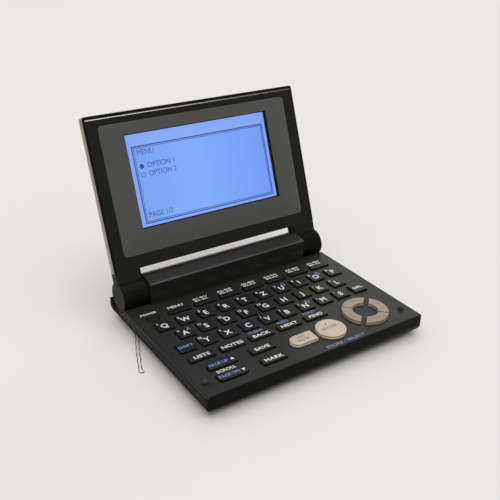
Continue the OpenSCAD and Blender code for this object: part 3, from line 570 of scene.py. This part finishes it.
arrow_radius = 1.05 * mm
arrow_spot = Vector((4.9, 0, 0)) * mm
page_spot = Vector((-1.5, 0, 0)) * mm
word_spot = Vector((0, -0.2, 0)) * mm
single_words = {
    "shift_key": ("SHIFT", 1.6, blue_ink), "delete_key": ("DEL", 1.8, cream_ink),
    "function_key_1": ("LISTS", 1.9, cream_ink), "function_key_2": ("NOTES", 1.9, cream_ink),
    "function_key_3": ("BACK", 1.9, cream_ink), "function_key_4": ("NEXT", 1.9, cream_ink),
    "function_key_5": ("FIND", 1.9, cream_ink), "favourite_key": ("SAVE", 1.9, cream_ink),
    "marker_key": ("MARK", 1.9, cream_ink), "page_up_key": ("PAGE UP", 1.7, blue_ink),
    "page_down_key": ("PAGE DN", 1.7, blue_ink)}
for node, (words, height, ink) in single_words.items():
    middle = top_middle(*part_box(node))
    if node.startswith("page"):
        turn = 0.0 if node == "page_up_key" else math.pi
        arrow = inked(flat_sign(3, arrow_radius, turn), middle + arrow_spot, cream_ink)
        marks = [inked(flat_words(words, height * mm, 0.95), middle + page_spot, ink), arrow]
    else:
        marks = [inked(flat_words(words, height * mm, 1.25), middle + word_spot, ink)]
    printed(node + "_legend", marks, node)

# Silver keys: caps lacquered in satin silver-beige, with a rounded rim and a fine groove round the side.
# The cursor ring's lacquer is a darker batch. The words on the keys are printed in a faint brown.


def lacquer_finish(name, dull, bright):
    """Satin lacquer with fine metal flakes, rubbed a little brighter in places."""
    finish = Finish(name)
    flake = finish.noise(0.00012, 2.0)
    rubbed = finish.noise(0.0040, 3.0)
    return finish.done(
        Base_Color=finish.mix(finish.steps(rubbed, 0.3, 0.7), dull, bright),
        Metallic=0.35,
        Roughness=0.34 + 0.16 * flake,
        Normal=finish.bump(flake, 0.000008))


key_silver = lacquer_finish("key_silver", rgb(0.46, 0.375, 0.29), rgb(0.515, 0.43, 0.335))
ring_silver = lacquer_finish("ring_silver", rgb(0.235, 0.192, 0.153), rgb(0.275, 0.228, 0.185))
brown_ink = label_ink("brown_ink", rgb(0.20, 0.16, 0.13))
silver_round = 0.30 * mm
groove_low = deck + 0.55 * mm
groove_high = groove_low + 0.13 * mm
groove_deep = 0.11 * mm


def in_groove(face):
    """Whether a face of a key lies in the band where the groove is cut."""
    return all(groove_low - merge_reach < end.co.z < groove_high + merge_reach for end in face.verts)


def grooved(piece):
    """Cuts a fine groove into the upright walls round a cap."""
    pick(piece)
    bpy.ops.object.mode_set(mode="EDIT")
    for height in (groove_low, groove_high):
        bpy.ops.mesh.select_all(action="SELECT")
        bpy.ops.mesh.bisect(plane_co=(0, 0, height), plane_no=(0, 0, 1))
    choose(piece, "FACE", in_groove)
    bpy.ops.mesh.extrude_region_shrink_fatten(TRANSFORM_OT_shrink_fatten={"value": -groove_deep})
    bpy.ops.object.mode_set(mode="OBJECT")
    bpy.ops.object.shade_smooth_by_angle(angle=math.radians(35))


for node in ("escape_key", "enter_key"):
    grooved(key_cap(node, silver_round, key_silver))
for node in ("cursor_up_key", "cursor_right_key", "cursor_down_key", "cursor_left_key"):
    grooved(key_cap(node, silver_round, ring_silver))

enter_high = 1.75 * mm
enter_spot = Vector((-0.2, 0.5, 0)) * mm
enter_dot_radius = 0.55 * mm
enter_dot_spot = Vector((-0.2, 3.3, 0)) * mm
escape_high = 1.5 * mm
enter_middle = top_middle(*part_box("enter_key"))
enter_word = inked(flat_words("ENTER", enter_high, 1.1), enter_middle + enter_spot, brown_ink)
enter_dot = inked(flat_sign(12, enter_dot_radius), enter_middle + enter_dot_spot, brown_ink)
printed("enter_key_legend", [enter_word, enter_dot], "enter_key")
escape_middle = top_middle(*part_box("escape_key"))
escape_words = inked(flat_words("ESC\nBACK", escape_high, 1.1), escape_middle, brown_ink)
printed("escape_key_legend", [escape_words], "escape_key")
ring_middle = top_middle(Vector((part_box("cursor_left_key")[0].x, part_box("cursor_down_key")[0].y, 0)),
                         Vector((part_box("cursor_right_key")[1].x, *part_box("cursor_up_key")[1].yz)))
dot_reach = 8.1 * mm
dot_radius = 0.38 * mm
for turn, side in enumerate(("right", "up", "left", "down")):
    way = Vector((math.cos(turn * math.pi / 2), math.sin(turn * math.pi / 2), 0))
    dot = inked(flat_sign(12, dot_radius), ring_middle + dot_reach * way, brown_ink)
    printed("cursor_%s_key_dot" % side, [dot], "cursor_%s_key" % side)

# Rubber: two small moulded dots in the panel's front corners, which the closed lid rests on, and four round
# feet that are glued on underneath.
rubber_finish = Finish("black_rubber")
rubber_grain = rubber_finish.noise(0.00025, 3.0)
black_rubber = rubber_finish.done(
    Base_Color=rubber_finish.mix(rubber_grain, rgb(0.012, 0.012, 0.012), rgb(0.022, 0.021, 0.020)),
    Roughness=0.62 + 0.2 * rubber_grain,
    Normal=rubber_finish.bump(rubber_grain, 0.00002))
rubber_round = 0.12 * mm
bumpers = moulding("lid_bumpers", "lid_bumper_dots", rubber_round)
dress(bumpers, black_rubber, "base", "lid_bumpers")
feet = moulding("rubber_feet", "rubber_foot_pads", rubber_round)
dress(feet, black_rubber, "base", "rubber_feet")

# Hinge cover: the glossy black hump between the knuckles, with a lighter gloss along its crest that is a
# painted highlight. It holds the battery, the two friction hinges and the ribbon to the display, and is
# screwed down from below.
cover_gloss = gloss_finish("cover_gloss", rgb(0.0185, 0.019, 0.016), rgb(0.024, 0.0235, 0.020), 0.17, 1.32)
crest_highlight_gloss = gloss_finish("crest_highlight_gloss", rgb(0.042, 0.042, 0.036), rgb(0.056, 0.055, 0.047), 0.20, 1.36)
hinge_cover = moulding("hinge_cover", "hinge_cover_moulding")
cover_low, cover_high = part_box("hinge_cover")
crest_level = cover_high.z - 2.5 * mm
crest_round = 0.5 * mm
end_round = 0.12 * mm
ease_edges(hinge_cover, lambda spot: spot.y < cover_low.y + close_by and spot.z > crest_level,
           crest_round, 4)
ease_edges(hinge_cover, lambda spot: abs(spot.x) > cover_high.x - close_by and spot.z > deck, end_round, 2)
dress(hinge_cover, cover_gloss, "base", "hinge_cover")
# Faces on the crest's rounded front edge take the lighter gloss: a painted highlight.
hinge_cover.data.materials.append(crest_highlight_gloss)
for face in hinge_cover.data.polygons:
    on_crest = face.center.y < cover_low.y + crest_round and face.center.z > crest_level
    face.material_index = 1 if on_crest and 0.15 < face.normal.z < 0.95 else 0

# Hinges: two steel shafts that turn stiffly in closed barrels. They are turned parts, bright plated; the
# barrels are pressed into the cover's ends, and the shafts are fixed in the lid's knuckles.
steel_finish = Finish("plated_steel")
drawn = steel_finish.noise(0.00020, 3.0, stretch=(0.15, 1, 1))
plated_steel = steel_finish.done(
    Base_Color=steel_finish.mix(drawn, rgb(0.50, 0.51, 0.53), rgb(0.62, 0.62, 0.63)),
    Metallic=1.0,
    Roughness=0.24 + 0.14 * drawn,
    Normal=steel_finish.bump(drawn, 0.000006))
turned_round = 0.15 * mm
barrels = moulding("hinge_barrels", "hinge_barrel_tubes", turned_round)
dress(barrels, plated_steel, "base", "hinge_barrels")
shafts = moulding("hinge_shafts", "hinge_shaft_pins", turned_round)
dress(shafts, plated_steel, "lid", "hinge_shafts")

# Battery: one small cell in a printed sleeve, dark with a copper band. It lies in the hinge cover, between
# a plated steel plate and a coil spring.
sleeve_finish = Finish("cell_sleeve")
cell_low, cell_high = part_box("battery_cell")
dark_share = 0.68
band_start = cell_low.x + dark_share * (cell_high.x - cell_low.x)
band = sleeve_finish.along((1, 0, 0)) > band_start
scuff = sleeve_finish.noise(0.0012, 4.0)
cell_sleeve = sleeve_finish.done(
    Base_Color=sleeve_finish.mix(band, rgb(0.03, 0.03, 0.035), rgb(0.62, 0.36, 0.14)),
    Metallic=0.6,
    Roughness=0.30 + 0.15 * scuff,
    Normal=sleeve_finish.bump(scuff, 0.00001))
cell_round = 0.3 * mm
sheet_round = 0.08 * mm
cell = moulding("battery_cell", "battery_cell_can", cell_round)
dress(cell, cell_sleeve, "base", "battery_cell")
plates = moulding("battery_plate", "battery_plates", sheet_round)
dress(plates, plated_steel, "base", "battery_plate")
dress(moulding("battery_spring", "battery_spring_coil"), plated_steel, "base", "battery_spring")

# Battery door: a moulded cover of the case's plastic under the cell, with a row of grip ribs outside. It
# slides back and then lifts off.


def slab(name, low, high):
    """A block between two corners."""
    bpy.ops.object.select_all(action="DESELECT")
    bpy.ops.mesh.primitive_cube_add(size=1, location=(low + high) / 2, scale=high - low)
    bpy.ops.object.transform_apply(location=True, rotation=True, scale=True)
    bpy.context.object.name = name
    return bpy.context.object


door_round = 0.12 * mm
door = moulding("battery_door", "battery_door_moulding", door_round)
door_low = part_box("battery_door")[0]
rib_count = 5
rib_wide = 14 * mm
rib_deep = 0.6 * mm
rib_high = 0.25 * mm
rib_sunk = 0.1 * mm
rib_pitch = 1.3 * mm
rib_start = door_low.y + 3.2 * mm
rib_round = 0.12 * mm
grip = slab("grip", Vector((-rib_wide / 2, rib_start, door_low.z - rib_high)),
            Vector((rib_wide / 2, rib_start + rib_deep, door_low.z + rib_sunk)))
bpy.ops.object.mode_set(mode="EDIT")
bpy.ops.mesh.bevel(offset=rib_round, segments=3, affect="EDGES")
bpy.ops.object.mode_set(mode="OBJECT")
ribs = grip.modifiers.new("ribs", "ARRAY")
ribs.count = rib_count
ribs.use_relative_offset = False
ribs.use_constant_offset = True
ribs.constant_offset_displace = (0, rib_pitch, 0)
bpy.ops.object.modifier_apply(modifier="ribs")
bpy.ops.object.shade_smooth_by_angle(angle=smooth_below)
dress(joined([door, grip]), case_gloss, "battery_door", "battery_door")

# Electronics in the base: a green circuit board with moulded chips underneath, a silicone mat with a dome
# under each key, and the base end of the ribbon. Board and mat lie between the panel and the case.
board_finish = Finish("circuit_board")
track_pitch = 0.8 * mm
track_half = 0.12 * mm
tracks_x = board_finish.lines(board_finish.along((1, 0, 0)), track_pitch) < track_half
tracks_y = board_finish.lines(board_finish.along((0, 1, 0)), track_pitch) < track_half
routed = board_finish.steps(board_finish.noise(0.006, 1.0), 0.49, 0.51)
tracks = tracks_x * routed + tracks_y * (1 - routed)
circuit_board = board_finish.done(
    Base_Color=board_finish.mix(tracks, rgb(0.012, 0.085, 0.035), rgb(0.05, 0.22, 0.09)),
    Roughness=0.35 + 0.1 * tracks,
    Normal=board_finish.bump(tracks, 0.00003))
finish_node("main_board", circuit_board)

chip_finish = Finish("chip_package")
chip_grain = chip_finish.noise(0.0001, 2.0)
chip_package = chip_finish.done(
    Base_Color=chip_finish.mix(chip_grain, rgb(0.012, 0.012, 0.012), rgb(0.024, 0.024, 0.024)),
    Roughness=0.5 + 0.2 * chip_grain,
    Normal=chip_finish.bump(chip_grain, 0.00001))
chip_round = 0.1 * mm
chips = moulding("board_chips", "board_chip_packages", chip_round)
dress(chips, chip_package, "base", "board_chips")

ribbon_finish = Finish("ribbon")
wire_pitch = 0.3 * mm
wire_half = 0.07 * mm
wires = ribbon_finish.lines(ribbon_finish.along((1, 0, 0)), wire_pitch) < wire_half
ribbon = ribbon_finish.done(
    Base_Color=ribbon_finish.mix(wires, rgb(0.42, 0.20, 0.04), rgb(0.60, 0.34, 0.12)),
    Roughness=0.35 + 0.1 * wires,
    Normal=ribbon_finish.bump(wires, 0.00002))
finish_node("board_cable", ribbon)

mat_finish = Finish("silicone_mat")
mat_bloom = mat_finish.noise(0.004, 3.0)
silicone_mat = mat_finish.done(
    Base_Color=mat_finish.mix(mat_bloom, rgb(0.44, 0.44, 0.42), rgb(0.54, 0.54, 0.51)),
    Roughness=0.6 + 0.15 * mat_bloom,
    Normal=mat_finish.bump(mat_bloom, 0.00003))
dress(moulding("key_mat", "key_mat_domes"), silicone_mat, "base", "key_mat")

# Screws: six plated steel screws with cross heads, driven from below into wells. Four hold the panel, and
# two the hinge cover.
panel_screws = [(49.3, 6.5), (-49.3, 6.5), (49.3, 66.5), (-49.3, 66.5)]
cover_screws = [(29.95, 74.5), (-29.95, 74.5)]
screw_low, screw_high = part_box("base_screws")
head_thick = 1.0 * mm
head_wide = 3.6 * mm
head_round = 0.2 * mm
shank_wide = 2.0 * mm
bpy.ops.object.select_all(action="DESELECT")
bpy.ops.mesh.primitive_cylinder_add(vertices=40, radius=head_wide / 2, depth=head_thick,
                                    location=(0, 0, screw_low.z + head_thick / 2))
screw = bpy.context.object
bpy.ops.object.transform_apply(location=True, rotation=True, scale=True)
bpy.ops.object.mode_set(mode="EDIT")
choose(screw, "FACE", lambda face: face.normal.z > 0.9)
bpy.ops.mesh.inset(thickness=(head_wide - shank_wide) / 2)
bpy.ops.mesh.extrude_region_move(
    TRANSFORM_OT_translate={"value": (0, 0, screw_high.z - screw_low.z - head_thick)})
bpy.ops.object.mode_set(mode="OBJECT")
ease_all(screw, head_round, 3, smooth_below)
slot_reach = Vector((2.1, 0.42, 0.9)) * mm / 2
slot_middle = Vector((0, 0, screw_low.z))
for reach in (slot_reach, slot_reach.yxz):
    cutter = slab("cutter", slot_middle - reach, slot_middle + reach)
    cut = screw.modifiers.new("cut", "BOOLEAN")
    cut.operation = "DIFFERENCE"
    cut.solver = "EXACT"
    cut.object = cutter
    pick(screw)
    bpy.ops.object.modifier_apply(modifier="cut")
    bpy.data.objects.remove(cutter)
bpy.ops.object.shade_smooth_by_angle(angle=smooth_below)
screws = []
turn_step = 0.7
for turn, (x, y) in enumerate(panel_screws + cover_screws):
    copy = screw.copy()
    copy.data = screw.data.copy()
    bpy.context.collection.objects.link(copy)
    spot = on_case(x * mm, y * mm)
    driven = Matrix.Rotation(turn_step * turn, 4, "Z")
    copy.data.transform(Matrix.Translation((spot.x, spot.y, 0)) @ driven)
    screws.append(copy)
bpy.data.objects.remove(screw)
base_screws = joined(screws)
base_screws.name = "cross_head_screws"
dress(base_screws, plated_steel, "base", "base_screws")

# Strap anchor: the small moulded bar across the pocket, which the cord is looped round. Its edges are
# rounded, so that the cord doesn't fray.
anchor_round = 0.2 * mm
anchor = moulding("strap_anchor", "strap_anchor_bar", anchor_round)
dress(anchor, case_gloss, "base", "strap_anchor")

# Lid: a shell in champagne-grey metallic paint, bare black inside, behind a glossy black bezel. The bezel
# carries the two knuckles and is screwed on under the window. A bright metallic strip on the chamfer along
# its top edge is a painted highlight, and the darker black on its knuckles and end faces is painted shade.
hinge = next(joint for joint in frame["joints"] if joint["name"] == "lid_hinge")
lean = math.pi + math.radians(hinge["range_deg"][0])
lid_place = Matrix.Translation(hinge["pos_m"]) @ Matrix.Rotation(lean, 4, "X")
lid_turn = lid_place.to_3x3()
into_lid = lid_place.inverted()
lid_up = tuple(lid_turn @ Vector((0, 1, 0)))


def lid_box(node):
    """A node's corners in the lid's frame: x along the hinge, y up the lid from the hinge, z out of it."""
    spots = [into_lid @ vertex.co for vertex in frame["nodes"][node].data.vertices]
    return (Vector([min(spot[i] for spot in spots) for i in range(3)]),
            Vector([max(spot[i] for spot in spots) for i in range(3)]))


shell_bare = gloss_finish("shell_bare", rgb(0.007, 0.0065, 0.0055), rgb(0.012, 0.011, 0.009), 0.14, 1.16)
paint_finish = Finish("shell_gloss")
paint_fleck = paint_finish.noise(0.00010, 2.0)
paint_wear = paint_finish.noise(0.006, 4.0)
shell_gloss = paint_finish.done(
    Base_Color=paint_finish.mix(paint_fleck, rgb(0.20, 0.175, 0.150), rgb(0.27, 0.240, 0.205)),
    Metallic=0.8,
    Roughness=0.24 + 0.08 * paint_wear,
    Coat_Weight=0.5 + 0.1 * paint_fleck,
    Coat_Roughness=0.06)
shell_round = 0.15 * mm
shell_low, shell_high = lid_box("lid_shell")
shell_middle = (shell_low + shell_high) / 2
shell = moulding("lid_shell", "lid_shell_moulding", shell_round)
dress(shell, shell_gloss, "lid", "lid_shell")
shell.data.materials.append(shell_bare)
for face in shell.data.polygons:
    way = into_lid.to_3x3() @ face.normal
    outside = way.dot(into_lid @ face.center - shell_middle) > 0 and way.z < 0.9
    face.material_index = 0 if outside else 1
bezel_round = 0.1 * mm
bezel_proud = 0.1 * mm
chamfer_wide = 0.75 * mm
bezel_high = lid_box("lid_bezel")[1]
chamfer_start = Vector((0, bezel_high.y - chamfer_wide, shell_high.z + bezel_proud))
bezel = moulding("lid_bezel", "lid_bezel_moulding")
bpy.ops.object.mode_set(mode="EDIT")
bpy.ops.mesh.select_all(action="SELECT")
bpy.ops.mesh.bisect(plane_co=lid_place @ chamfer_start, plane_no=lid_turn @ Vector((0, 1, 1)),
                    use_fill=True, clear_outer=True)
bpy.ops.object.mode_set(mode="OBJECT")
ease_edges(bezel, lambda spot: True, bezel_round, 2)
dress(bezel, case_gloss, "lid", "lid_bezel")
# Bright metallic strip for the top chamfer: a painted highlight.
highlight_strip_finish = Finish("painted_highlight_strip")
highlight_strip_grain = highlight_strip_finish.noise(0.0002, 2.0)
bezel.data.materials.append(highlight_strip_finish.done(
    Base_Color=highlight_strip_finish.mix(highlight_strip_grain, rgb(0.50, 0.47, 0.41), rgb(0.58, 0.55, 0.48)),
    Metallic=0.9,
    Roughness=0.34 + 0.1 * highlight_strip_grain))
bezel.data.materials.append(shaded_gloss)
knuckle_reach = 7 * mm
# The top chamfer takes the bright strip, a painted highlight; knuckles and end faces take the darker black,
# painted shade.
for face in bezel.data.polygons:
    way = into_lid.to_3x3() @ face.normal
    spot = into_lid @ face.center
    if spot.y > chamfer_start.y and 0.5 < way.z < 0.9 and abs(way.x) < 0.1:
        face.material_index = 1
    elif math.hypot(spot.y, spot.z) < knuckle_reach or abs(way.x) > 0.9:
        face.material_index = 2
pin_round = 0.1 * mm
dress(moulding("lid_screws", "lid_screw_pins", pin_round), plated_steel, "lid", "lid_screws")

# Display window: a clear acrylic plate with rounded corners, stuck into the bezel. A plain dark grey border
# is printed on its back, round the opening for the display. Part of the border's grey is painted reflection
# of the bright room in the plate.
border_finish = Finish("window_border")
border_haze = border_finish.noise(0.02, 3.0)
border_speck = border_finish.noise(0.0003, 2.0)
window_border = border_finish.done(
    Base_Color=border_finish.mix(border_finish.steps(border_haze, 0.3, 0.7), rgb(0.052, 0.055, 0.053),
                                 rgb(0.062, 0.060, 0.056)),
    Roughness=0.14 + 0.06 * border_speck,
    Normal=border_finish.bump(border_speck, 0.000004))
clear_finish = Finish("window_clear")
clear_smear = clear_finish.noise(0.006, 4.0)
window_clear = clear_finish.done(
    Base_Color=rgb(0.02, 0.02, 0.02),
    Roughness=0.06 + 0.06 * clear_smear,
    Alpha=0.10)
pane_low, pane_high = lid_box("display_window")
lcd_low, lcd_high = lid_box("lcd_panel")
opening_wide = 74.6 * mm
opening_high = 42.2 * mm
view_middle = 48.3 * mm


def front_split(piece, wide, high, material):
    """Cuts a slab's front and back along the view's rectangle, with a second material inside it."""
    piece.data.materials.append(material)
    bpy.ops.object.mode_set(mode="EDIT")
    for side in (wide / 2, -wide / 2):
        bpy.ops.mesh.select_all(action="SELECT")
        bpy.ops.mesh.bisect(plane_co=(side, 0, 0), plane_no=(1, 0, 0))
    for level in (view_middle + high / 2, view_middle - high / 2):
        bpy.ops.mesh.select_all(action="SELECT")
        bpy.ops.mesh.bisect(plane_co=(0, level, 0), plane_no=(0, 1, 0))
    bpy.ops.object.mode_set(mode="OBJECT")
    for face in piece.data.polygons:
        inside = abs(face.center.x) < wide / 2 and abs(face.center.y - view_middle) < high / 2
        face.material_index = 1 if inside else 0


pane_corner = 2 * mm
pane_round = 0.12 * mm
pane = slab("display_window_pane", pane_low, pane_high)
pane.data.materials.append(window_border)
bpy.ops.object.mode_set(mode="EDIT")
choose(pane, "EDGE", lambda edge: abs(edge.verts[0].co.z - edge.verts[1].co.z) > close_by)
bpy.ops.mesh.bevel(offset=pane_corner, segments=10, affect="EDGES")
choose(pane, "EDGE", lambda edge: all(abs(end.co.z - pane_high.z) < close_by for end in edge.verts))
bpy.ops.mesh.bevel(offset=pane_round, segments=2, affect="EDGES")
bpy.ops.object.mode_set(mode="OBJECT")
front_split(pane, opening_wide, opening_high, window_clear)
bpy.ops.object.shade_smooth_by_angle(angle=smooth_below)
pane.data.transform(lid_place)
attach(pane, "lid")
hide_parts("display_window")

# Display: a liquid crystal panel of two glasses, lit blue from behind and dark at its rim. It shows a
# generic menu in dark blue, in a double frame.
lit_inset = 0.4 * mm
lit_wide = opening_wide - 2 * lit_inset
lit_high = opening_high - 2 * lit_inset
lit_finish = Finish("display_lit")
lit_x = lit_finish.along((1, 0, 0))
across_lit = lit_finish.steps(lit_x, -lit_wide / 2, lit_wide / 2)
up_lit = lit_finish.along(lid_up, hinge["pos_m"])
tone = lit_finish.node("ShaderNodeValToRGB", {"stops": [(0.0, rgb(0.180, 0.375, 0.92)),
                                                       (1.0, rgb(0.160, 0.320, 0.94)),
                                                       (0.45, rgb(0.215, 0.435, 1.0))]}, {"Fac": across_lit})
frame_left = -34.6 * mm
frame_right = 35.2 * mm
frame_bottom = 28.8 * mm
frame_top = 63.7 * mm
inside = (lit_x > frame_left) * (lit_x < frame_right) * (up_lit > frame_bottom) * (up_lit < frame_top)
tinted = lit_finish.mix(0.55 * (1 - inside), tone, rgb(0.27, 0.43, 0.97))
pixel = 0.24 * mm
gap_half = 0.012 * mm
gaps = (lit_finish.lines(lit_x, pixel) < gap_half) + (lit_finish.lines(up_lit, pixel) < gap_half)
display_lit = lit_finish.done(
    Base_Color=rgb(0.01, 0.02, 0.08),
    Roughness=0.35,
    Emission_Color=lit_finish.mix(0.16 * gaps, tinted, rgb(0.08, 0.16, 0.60)),
    Emission_Strength=1.12)
rim_finish = Finish("display_rim")
rim_speck = rim_finish.noise(0.0004, 2.0)
display_rim = rim_finish.done(
    Base_Color=rim_finish.mix(rim_speck, rgb(0.004, 0.006, 0.030), rgb(0.008, 0.012, 0.050)),
    Roughness=0.3 + 0.1 * rim_speck)
lcd = slab("lcd_panel_glass", lcd_low, lcd_high)
lcd.data.materials.append(display_rim)
front_split(lcd, lit_wide, lit_high, display_lit)
lcd.data.transform(lid_place)
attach(lcd, "lid")
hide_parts("lcd_panel")

segment_finish = Finish("display_segments")
segment_speck = segment_finish.noise(0.0003, 2.0)
display_segments = segment_finish.done(
    Base_Color=rgb(0.01, 0.02, 0.08),
    Roughness=0.4,
    Emission_Color=segment_finish.mix(segment_speck, rgb(0.022, 0.052, 0.22), rgb(0.034, 0.070, 0.28)),
    Emission_Strength=1.0)
segment_level = lcd_high.z + 0.02 * mm


def frame_line(left, right, bottom, top, wide):
    """A thin rectangular line on the display."""
    bpy.ops.object.select_all(action="DESELECT")
    bpy.ops.mesh.primitive_plane_add(size=1, location=((left + right) / 2, (bottom + top) / 2, 0))
    line = bpy.context.object
    bpy.ops.object.transform_apply(location=True, rotation=True, scale=True)
    bpy.ops.object.mode_set(mode="EDIT")
    bpy.ops.transform.resize(value=(right - left, top - bottom, 1))
    bpy.ops.mesh.inset(thickness=wide)
    bpy.ops.mesh.delete(type="FACE")
    bpy.ops.mesh.select_all(action="SELECT")
    bpy.ops.mesh.extrude_region_move(TRANSFORM_OT_translate={"value": (0, 0, 2 * ink_depth)})
    bpy.ops.mesh.select_all(action="SELECT")
    bpy.ops.mesh.normals_make_consistent(inside=False)
    bpy.ops.object.mode_set(mode="OBJECT")
    return line


line_outer = 0.51 * mm
line_inner = 0.30 * mm
line_step = 0.85 * mm
outer_line = frame_line(frame_left, frame_right, frame_bottom, frame_top, line_outer)
inner_line = frame_line(frame_left + line_step, frame_right - line_step,
                        frame_bottom + line_step, frame_top - line_step, line_inner)
screen_marks = [inked(line, (0, 0, segment_level), display_segments) for line in (outer_line, inner_line)]
first_choice = 54.5 * mm
second_choice = 50.7 * mm
screen_high = 2.5 * mm
screen_words = [("MENU", -32.2 * mm, 60.6 * mm), ("OPTION 1", -28.3 * mm, first_choice),
                ("OPTION 2", -28.3 * mm, second_choice), ("PAGE 1/2", -32.2 * mm, 32.4 * mm)]
for words, left, middle in screen_words:
    mark = flat_words(words, screen_high, 0.9, 0.0)
    reach = min(vertex.co.x for vertex in mark.data.vertices)
    screen_marks.append(inked(mark, (left - reach, middle, segment_level), display_segments))
choice_x = -31.2 * mm
choice_radius = 1.1 * mm
choice_line = 0.22 * mm
dot_mark = flat_sign(20, choice_radius)
ring_mark = flat_sign(20, choice_radius)
bpy.ops.object.mode_set(mode="EDIT")
choose(ring_mark, "FACE", lambda face: abs(face.normal.z) > 0.9)
bpy.ops.mesh.inset(thickness=choice_line)
bpy.ops.mesh.bridge_edge_loops()
bpy.ops.object.mode_set(mode="OBJECT")
for mark, level in ((dot_mark, first_choice), (ring_mark, second_choice)):
    screen_marks.append(inked(mark, (choice_x, level, segment_level), display_segments))
for mark in screen_marks:
    mark.data.transform(lid_place)
printed("display_picture", screen_marks, "lid")

# Behind the display: a white moulded light guide and a folded steel frame, which the bezel holds. Below
# them is the display's own board, with the ribbon that rolls round the left hinge shaft.
guide_finish = Finish("light_guide")
dots = guide_finish.node("ShaderNodeTexVoronoi", {}, {"Vector": guide_finish.place(), "Scale": 900.0})
light_guide = guide_finish.done(
    Base_Color=guide_finish.mix(dots, rgb(0.86, 0.88, 0.90), rgb(0.76, 0.78, 0.82)),
    Roughness=0.25 + 0.2 * dots)
finish_node("backlight", light_guide)
display_frame = moulding("display_frame", "display_frame_bend", sheet_round)
dress(display_frame, plated_steel, "lid", "display_frame")
finish_node("display_board", circuit_board)
dress(moulding("display_cable", "display_cable_roll"), ribbon, "lid", "display_cable")

# Floor and light: a plain pale table in an even studio, under a large soft ceiling lamp. A weaker lamp at
# the back right draws the highlights on the keyboard's plastic.
bpy.ops.mesh.primitive_plane_add(size=8, location=(0, 0, 0))
floor = bpy.context.object
floor.name = "floor"
floor_finish = Finish("floor")
floor_tone = floor_finish.noise(0.3, 2.0)
floor.data.materials.append(floor_finish.done(
    Base_Color=floor_finish.mix(floor_tone, rgb(0.82, 0.80, 0.775), rgb(0.84, 0.82, 0.80)),
    Roughness=0.9,
    Specular_IOR_Level=0.2))

world = bpy.data.worlds.new("studio")
bpy.context.scene.world = world
world.use_nodes = True
sky = world.node_tree.nodes["Background"]
sky.inputs["Color"].default_value = rgb(1.0, 0.985, 0.965)
sky_light = 0.42
sky_seen = 0.84
rays = world.node_tree.nodes.new("ShaderNodeLightPath")
seen = rays.outputs["Is Camera Ray"]
for kind in ("Is Glossy Ray", "Is Transmission Ray"):
    either = world.node_tree.nodes.new("ShaderNodeMath")
    either.operation = "MAXIMUM"
    world.node_tree.links.new(seen, either.inputs[0])
    world.node_tree.links.new(rays.outputs[kind], either.inputs[1])
    seen = either.outputs[0]
strength = world.node_tree.nodes.new("ShaderNodeMapRange")
strength.inputs["To Min"].default_value = sky_light
strength.inputs["To Max"].default_value = sky_seen
world.node_tree.links.new(seen, strength.inputs["Value"])
world.node_tree.links.new(strength.outputs[0], sky.inputs["Strength"])


def soft_lamp(name, spot, wide, deep, radiance):
    """A flat lamp of this radiance that shines straight down."""
    bpy.ops.object.light_add(type="AREA", location=spot)
    lamp = bpy.context.object
    lamp.name = name
    lamp.data.shape = "RECTANGLE"
    lamp.data.size = wide
    lamp.data.size_y = deep
    lamp.data.energy = radiance * math.pi * wide * deep
    return lamp


soft_lamp("ceiling_lamp", (-0.2, -0.3, 4.2), 5.5, 5.5, 1.53)
back_lamp = soft_lamp("back_lamp", (3.0, 2.9, 2.4), 3.2, 2.4, 0.95)
back_lamp.rotation_euler = (-back_lamp.location).to_track_quat("-Z", "Y").to_euler()

bpy.context.scene.view_settings.view_transform = "Standard"
